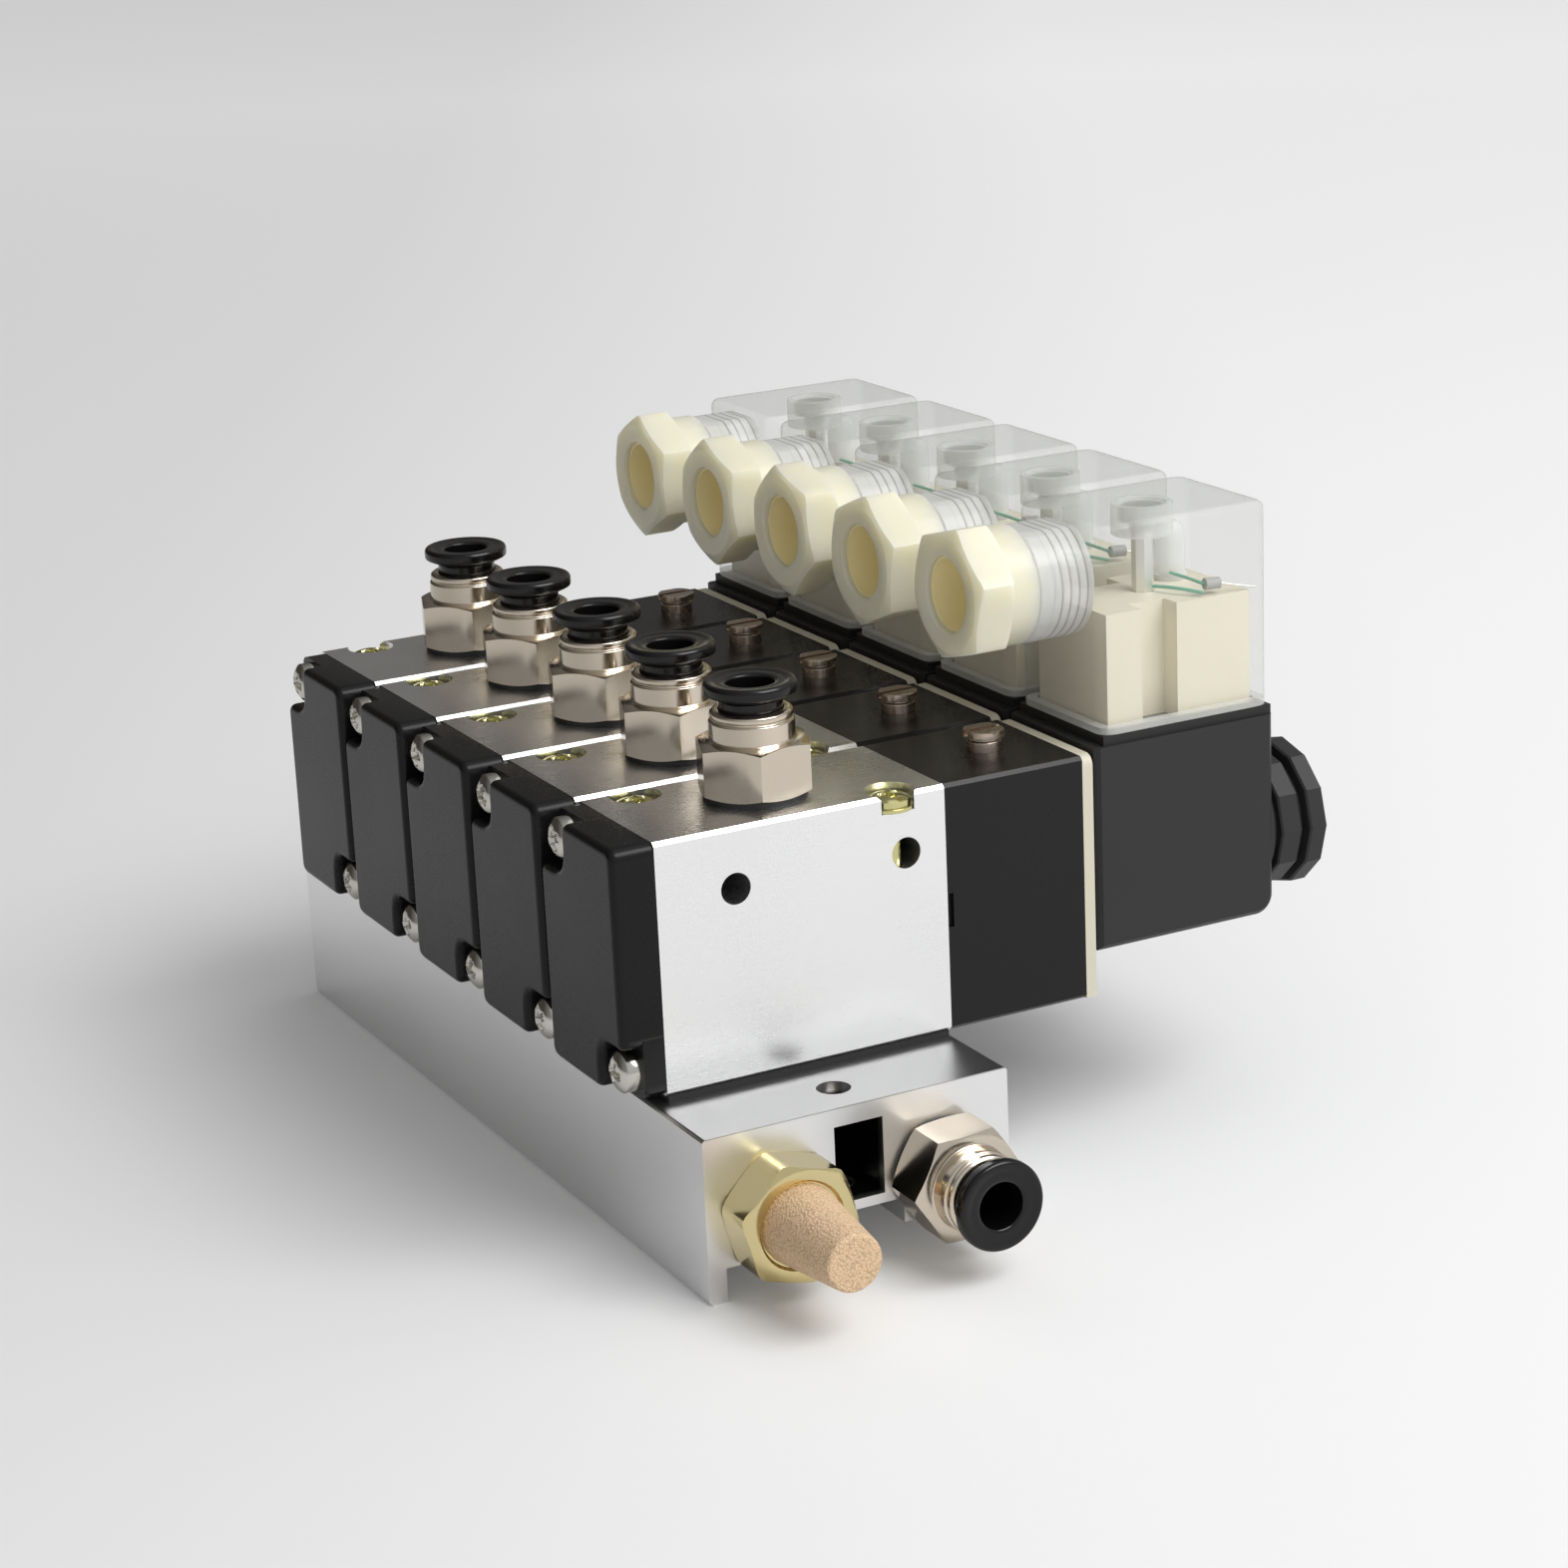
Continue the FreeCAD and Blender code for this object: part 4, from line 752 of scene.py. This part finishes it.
class ISLAND_OT_collars(bpy.types.Operator):
    """Black release collars, one in each push-in fitting"""

    bl_idname = "island.collars"
    bl_label = "Release collars"

    def execute(self, context):
        shape = collar_shape()
        for number, y in enumerate(STATION_Y, start=1):
            node, body = "port_collar_%d" % number, "collar_%d" % number
            seat = (centre(node)[0], y, span(node)[1][2] - COLLAR_RISE)
            shapes = [stood(shape, "+Z", seat)]
            make_piece("collar_ring_%d" % number, shapes, "collar", "collar_plastic", body, [node], sharp=50)
        node = "supply_collar"
        x, _, z = centre(node)
        shapes = [stood(shape, "-Y", (x, span(node)[0][1] + COLLAR_RISE, z))]
        make_piece("supply_collar_ring", shapes, "collar", "collar_plastic", node, [node], sharp=50)
        return {"FINISHED"}


class ISLAND_OT_buttons(bpy.types.Operator):
    """Slotted override buttons, each on its shank in the pilot body"""

    bl_idname = "island.buttons"
    bl_label = "Override buttons"

    def execute(self, context):
        head = slotted_disc(radius=2.78, low=-1.0, high=0.0, slot=0.9, depth=0.65)
        for number, y in enumerate(STATION_Y, start=1):
            node, body = "override_button_%d" % number, "button_%d" % number
            low, high = span(node)
            seat = (centre(node)[0], y, high[2])
            section = [(low[2] - high[2], 2.38), (-1.5, 2.38), (-1.3, 2.15), (-0.95, 2.15)]
            shank = skin(turned(softened(section, 0.1), 40))
            shapes = [stood(head, "+Z", seat), stood(shank, "+Z", seat)]
            make_piece("button_head_%d" % number, shapes, "copper", "copper_button", body, [node])
        return {"FINISHED"}


class ISLAND_OT_connectors(bpy.types.Operator):
    """Clear connector housings: a rounded shell, the rims of its walls and screw post, and a cable stub"""

    bl_idname = "island.connectors"
    bl_label = "Connector housings"

    def execute(self, context):
        low, high = span("connector_housings")
        left, right, bottom, top = low[0] + STUB_LENGTH, high[0], low[2] + 0.02, high[2]
        half = high[1] - STATION_Y[-1]
        corner_round, top_round, within_shell, flat_top = 2.4, 1.1, 0.06, 7.25
        # Sections as (height, inset) for the lip, and as (height, radius) for the cup and the stub
        lip = [(0.0, 0.0), (0.0, 1.5), (0.9, 1.5), (0.9, 0.0)]
        cup = [(-4.4, 1.7), (-4.4, 4.2), (-0.06, 4.2), (-0.06, 3.2), (-2.55, 3.2), (-2.55, 1.7)]
        stub = [(-STUB_LENGTH, 6.4), (-STUB_LENGTH, 7.85), (-STUB_LENGTH + 0.2, 8.05), (0.6, 8.05), (0.6, 6.4)]
        shells, rims, stubs = [], [], []
        for y in STATION_Y:
            outline = rectangle((left, y - half), (right, y + half))
            outline = softened(outline, corner_round, looped=True, steps=6)
            shells.append(skin(prism(outline, rounded_top(bottom, top, top_round))))
            normals = inward(outline)
            rim = [
                np.insert(outline + normals * (within_shell + inset), 2, bottom + height, axis=1)
                for height, inset in lip
            ]
            rims.append(skin(rim, looped=True))
            recess = skin(turned(softened(cup, 0.2, looped=True), 48), looped=True)
            rims.append(stood(recess, "+Z", ((left + right) / 2, y, top)))
            points, faces = skin(turned(stub, 64), looped=True)
            points[:, 1] = np.minimum(points[:, 1], flat_top)
            stubs.append(stood((points, faces), "+X", (left, y, top - CABLE_DROP)))
        take = {"slot": "clear_plastic", "replaces": ["connector_housings"]}
        make_piece("connector_shells", shells, "clear", **take)
        make_piece("connector_rims", rims, "milky", **take)
        make_piece("cable_stubs", stubs, "ringed", **take)
        return {"FINISHED"}


class ISLAND_OT_gland_nuts(bpy.types.Operator):
    """Nylon gland nuts: a chamfered hexagon, each turned by hand, with a threaded shank and an open bore"""

    bl_idname = "island.gland_nuts"
    bl_label = "Cable gland nuts"

    def execute(self, context):
        left = span("gland_nuts")[0][0]
        axis_z = span("connector_housings")[1][2] - CABLE_DROP
        turns = (45, 38, 18, 23, 30)  # degrees, from the ported end
        flats, face, bore = 16.4, 8.1, 5.1
        # Painted glow: a sleeve in the bore, brighter and warmer than the nut, stands for light that comes
        # through the nylon
        painted_glow_sleeve = skin(turned([(0.9, 4.75), (0.9, 5.08), (14.4, 5.08), (14.4, 4.75)], 48), looped=True)
        shapes, painted_glow_sleeves = [], []
        for y, turn in zip(STATION_Y, turns):
            angle = nut_angles(6, turn, 12)
            edge = polygon_radius(angle, 6, flats, turn, 0.985)
            # Points as (radius, height)
            mouth = [(bore, 14.7), (bore, 0.5), (5.25, 0.15), (5.6, 0.0), (np.minimum(edge, face) - 0.35, 0.0)]
            shank = [(8.05, 5.65), (8.05, 9.6), (7.9, 9.78), (6.3, 9.78), (6.28, 14.6), (6.0, 14.78)]
            rows = [ring(radius, height, angle) for radius, height in mouth]
            rows += chamfered_rows(edge, angle, 0.25, 5.6, face, 0.35)
            rows += [ring(radius, height, angle) for radius, height in shank]
            shapes.append(stood(skin(rows, looped=True), "+X", (left, y, axis_z)))
            painted_glow_sleeves.append(stood(painted_glow_sleeve, "+X", (left, y, axis_z)))
        make_piece("gland_hexagons", shapes, "nylon", "cream_plastic", replaces=["gland_nuts"], sharp=28)
        make_piece("gland_painted_glow_sleeves", painted_glow_sleeves, "painted_glow_sleeve", "cream_plastic")
        return {"FINISHED"}


class ISLAND_OT_coil_nuts(bpy.types.Operator):
    """Moulded coil nuts: a flange and two rings of flat grip facets"""

    bl_idname = "island.coil_nuts"
    bl_label = "Coil nuts"

    def execute(self, context):
        left, centre_z = span("coil_nuts")[0][0], centre("coil_nuts")[2]
        facets, bore, core = 12, 4.55, 8.4
        angle = nut_angles(facets, 0, 6)
        inner, outer = (polygon_radius(angle, facets, flats, 0) for flats in (18.8, 20.0))

        def grip(edge, start, end):
            """A ring of facets whose ends are drawn in a little."""
            drawn_in = edge * 0.975
            return [(drawn_in, start), (edge, start + 0.25), (edge, end - 0.25), (drawn_in, end)]

        # Section as (radius, height)
        section = [(bore, 9.4), (bore, 0.0), (9.2, 0.0), (9.5, 0.2), (9.5, 1.2), (9.2, 1.4)]
        section += [(core, 1.45), (core, 2.3), *grip(inner, 2.32, 5.68)]
        section += [(core, 5.72), (core, 6.56), *grip(outer, 6.6, 9.38)]
        section += [(6.6, 9.4), (6.3, 8.9), (4.9, 8.9)]
        nut = skin([ring(radius, height, angle) for radius, height in section], looped=True)
        shapes = [stood(nut, "+X", (left, y, centre_z)) for y in STATION_Y]
        make_piece("coil_nut_mouldings", shapes, "coil", "coil_black_plastic", replaces=["coil_nuts"], sharp=24)
        return {"FINISHED"}


class ISLAND_OT_silencer(bpy.types.Operator):
    """Exhaust silencer: a chamfered brass hexagon and a cone of sintered bronze"""

    bl_idname = "island.silencer"
    bl_label = "Silencer"

    def execute(self, context):
        x, _, z = centre("silencer_cone")
        end_face = span("manifold")[0][1]
        seat, turn = (x, end_face, z), 45
        angle = nut_angles(6, turn, 10)
        flats, depth, face = 15.0, 6.5, 7.3
        edge = polygon_radius(angle, 6, flats, turn, 0.97)
        rows = chamfered_rows(edge, angle, 0.0, depth, face, 0.5)
        rows += [ring(6.0, 6.45, angle), ring(5.65, 6.0, angle), ring(3.0, 6.0, angle)]
        shapes = [stood(skin(rows), "-Y", seat)]
        make_piece("silencer_hexagon", shapes, "brass", "plain_brass", replaces=["silencer_body"])
        reach = end_face - span("silencer_cone")[0][1]
        profile = softened([(5.9, 2.0), (5.9, 5.4), (reach, 3.8), (reach, 0.02)], (0.1, 0.45), steps=6)
        shapes = [stood(skin(turned(profile, 80)), "-Y", seat)]
        make_piece("sintered_cone", shapes, "bronze", "sintered_bronze", replaces=["silencer_cone"], sharp=60)
        return {"FINISHED"}


class ISLAND_OT_lamps(bpy.types.Operator):
    """The lamp in each connector, with its resistor, a bare lead and two thin green wires"""

    bl_idname = "island.lamps"
    bl_label = "Lamps and wires"

    def execute(self, context):
        wire = context.scene.island_sizes.wire / MM
        flange, body, tip = 2.5, 2.2, 1.4
        low, x = span("led_lamps")[0], centre("led_lamps")[0]
        aside = low[1] + flange - STATION_Y[0]
        # Section as (height, radius)
        dome = [(0.0, 0.02), (0.0, flange), (1.0, flange), (1.0, body), (6.4, body), (8.0, tip), (8.0, 0.02)]
        dome = skin(turned(softened(dome, (0.1, 0.1, 0.1, 1.4, 0.6), steps=5), 40))
        # Points as (distance from the lamp along X, from the valve's centre line, above the terminal block)
        resistor = np.array([(-1.6, -7.3, 1.5), (0.6, -7.5, 1.4)])
        bare = np.array([(0.6, -7.5, 1.4), (3.2, -8.2, 0.8), (5.6, -8.6, 0.3)])
        upper = np.array([(-3.2, -1.6, 2.2), (-2.4, -4.6, 1.9), (-1.6, -7.3, 1.5)])
        lower = np.array([(-6.0, -0.4, 0.5), (-4.6, -4.6, 0.9), (-2.2, -7.9, 0.5)])
        domes, leads, wires, resistors = [], [], [], []
        for y in STATION_Y:
            domes.append(stood(dome, "+Z", (x, y + aside, low[2])))
            at = np.array((x, y, low[2]))
            leads.append(skin(tube(smooth_path(at + bare), wire * 0.6)))
            wires += [skin(tube(smooth_path(at + line), wire)) for line in (upper, lower)]
            resistors.append(skin(tube(smooth_path(at + resistor, 8), 0.8, 16)))
        make_piece("lamp_domes", domes, "lamp", "lamp_lens", replaces=["led_lamps"], sharp=60)
        make_piece("lamp_leads", leads, "tin", "tinned_blade", sharp=60)
        make_piece("lamp_wires", wires, "green", "cream_plastic", sharp=60)
        make_piece("lamp_resistors", resistors, "resistor", "grey_rubber", sharp=60)
        return {"FINISHED"}


CAMERA_PLACE = (-0.2018, -0.4450, 0.1882)
CAMERA_RIGHT = (0.88236, -0.46853, -0.04366)
CAMERA_UP = (0.17484, 0.24028, 0.95483)
CAMERA_BACK = (-0.43688, -0.85015, 0.29393)
CAMERA_LENS = 83.70
LAMPS_FACE = (0.02, 0.0, 0.03)


class ISLAND_OT_stage(bpy.types.Operator):
    """The floor, the lamps, the surroundings and the camera"""

    bl_idname = "island.stage"
    bl_label = "Studio"

    def execute(self, context):
        look = context.scene.island_stage
        self.floor(look)
        self.surroundings(look)
        self.lamp("front_lamp", (0.46, -0.82, 1.06), (1.0, 0.7), look.key)
        self.lamp("top_lamp", (0.45, -0.25, 1.15), (1.1, 1.1), look.top)
        self.camera()
        context.scene.view_settings.view_transform = "Standard"
        return {"FINISHED"}

    def floor(self, look):
        """A sheet of pale paper at the level on which the manifold stands."""
        mesh = bpy.data.meshes.new("floor")
        reach, level = 8, span("manifold")[0][2] * MM
        corners = [(x, y, level) for x, y in rectangle((-reach, -reach), (reach, reach))]
        mesh.from_pydata(corners, [], [(0, 1, 2, 3)])
        floor = bpy.data.objects.new("floor", mesh)
        bpy.context.scene.collection.objects.link(floor)
        finish = Finish("floor_paper", Roughness=0.9, Specular_IOR_Level=0.1, Emission_Strength=1.0)
        broad = finish.grain(1.4, 2.0)
        finish.feed("Base Color", finish.between(broad, shade(look.floor, 0.985), shade(look.floor, 1.01)))
        # Painted light: seen by the camera, the paper glows paler towards the right and the back, as where the
        # lamps light it; it lights nothing by this
        aside = finish.share(finish.along((0.883, -0.469, 0)), -0.13, 0.15)
        away = finish.share(finish.along((0.457, 0.889, 0)), 0.0, 1.3)
        camera_ray = finish.node("ShaderNodeLightPath")
        finish.feed("Emission Color", (aside * 0.14 + away * 0.26) * camera_ray)
        finish.bumped(finish.grain(900.0), 1e-5)
        mesh.materials.append(finish.material)

    def surroundings(self, look):
        """Pale in front of the island and dim behind it, as in a studio with one lit side."""
        world = bpy.data.worlds.new("studio")
        bpy.context.scene.world = world
        sky = Finish("studio", world, Strength=look.world)
        front = sky.share(sky.along((0.45, -0.85, 0.15), SKY_DIRECTION), -0.75, 0.55)
        tone = sky.between(front, tuple(look.dim), tuple(look.pale))
        camera_ray = sky.node("ShaderNodeLightPath")
        sky.feed("Color", sky.between(camera_ray, tone, tuple(look.backdrop)))

    def lamp(self, name, place, size, power):
        """A soft rectangular lamp that faces the island."""
        light = bpy.data.lights.new(name, "AREA")
        light.shape, light.energy = "RECTANGLE", power
        light.size, light.size_y = size
        lamp = bpy.data.objects.new(name, light)
        bpy.context.scene.collection.objects.link(lamp)
        back = np.array(place) - np.array(LAMPS_FACE)
        back /= np.linalg.norm(back)
        side = np.cross((0, 0, 1), back)
        side /= np.linalg.norm(side)
        self.place(lamp, (side, np.cross(back, side), back), place)

    def place(self, thing, axes, place):
        """Stands an object with its own axes along three directions."""
        rows = [(*row, at) for row, at in zip(np.array(axes).T, place)]
        thing.matrix_world = Matrix(rows + [(0, 0, 0, 1)])

    def camera(self):
        """The camera at the photograph's viewing angle."""
        lens = bpy.data.cameras.new("camera")
        lens.sensor_fit, lens.sensor_width, lens.lens = "HORIZONTAL", 36.0, CAMERA_LENS
        lens.clip_start, lens.clip_end = 0.01, 50
        camera = bpy.data.objects.new("camera", lens)
        bpy.context.scene.collection.objects.link(camera)
        self.place(camera, (CAMERA_RIGHT, CAMERA_UP, CAMERA_BACK), CAMERA_PLACE)
        bpy.context.scene.camera = camera


class ISLAND_PT_panel(bpy.types.Panel):
    """Lists the operators and the values they read"""

    bl_label = "Valve island"
    bl_idname = "ISLAND_PT_panel"
    bl_space_type = "VIEW_3D"
    bl_region_type = "UI"
    bl_category = "Valve island"

    def draw(self, context):
        for operator in OPERATORS:
            self.layout.operator(operator.bl_idname)
        for group in GROUPS:
            values = getattr(context.scene, group)
            for name in values.__annotations__:
                self.layout.prop(values, name)


GROUPS = {"island_sizes": IslandSizes, "island_colours": IslandColours, "island_stage": IslandStage}
OPERATORS = [
    ISLAND_OT_finishes,
    ISLAND_OT_end_caps,
    ISLAND_OT_cap_screws,
    ISLAND_OT_mount_screws,
    ISLAND_OT_fittings,
    ISLAND_OT_collars,
    ISLAND_OT_buttons,
    ISLAND_OT_connectors,
    ISLAND_OT_gland_nuts,
    ISLAND_OT_coil_nuts,
    ISLAND_OT_silencer,
    ISLAND_OT_lamps,
    ISLAND_OT_stage,
]


def register():
    """Registers every class, and hangs the property groups on the scene."""
    for item in [*GROUPS.values(), *OPERATORS, ISLAND_PT_panel]:
        bpy.utils.register_class(item)
    for name, group in GROUPS.items():
        setattr(bpy.types.Scene, name, bpy.props.PointerProperty(type=group))


def unregister():
    """Takes the property groups and the classes away again."""
    for name in GROUPS:
        delattr(bpy.types.Scene, name)
    for item in [ISLAND_PT_panel, *OPERATORS[::-1], *GROUPS.values()]:
        bpy.utils.unregister_class(item)


def main():
    register()
    for operator in OPERATORS:
        area, name = operator.bl_idname.split(".")
        getattr(getattr(bpy.ops, area), name)()


if __name__ == "__main__":
    main()
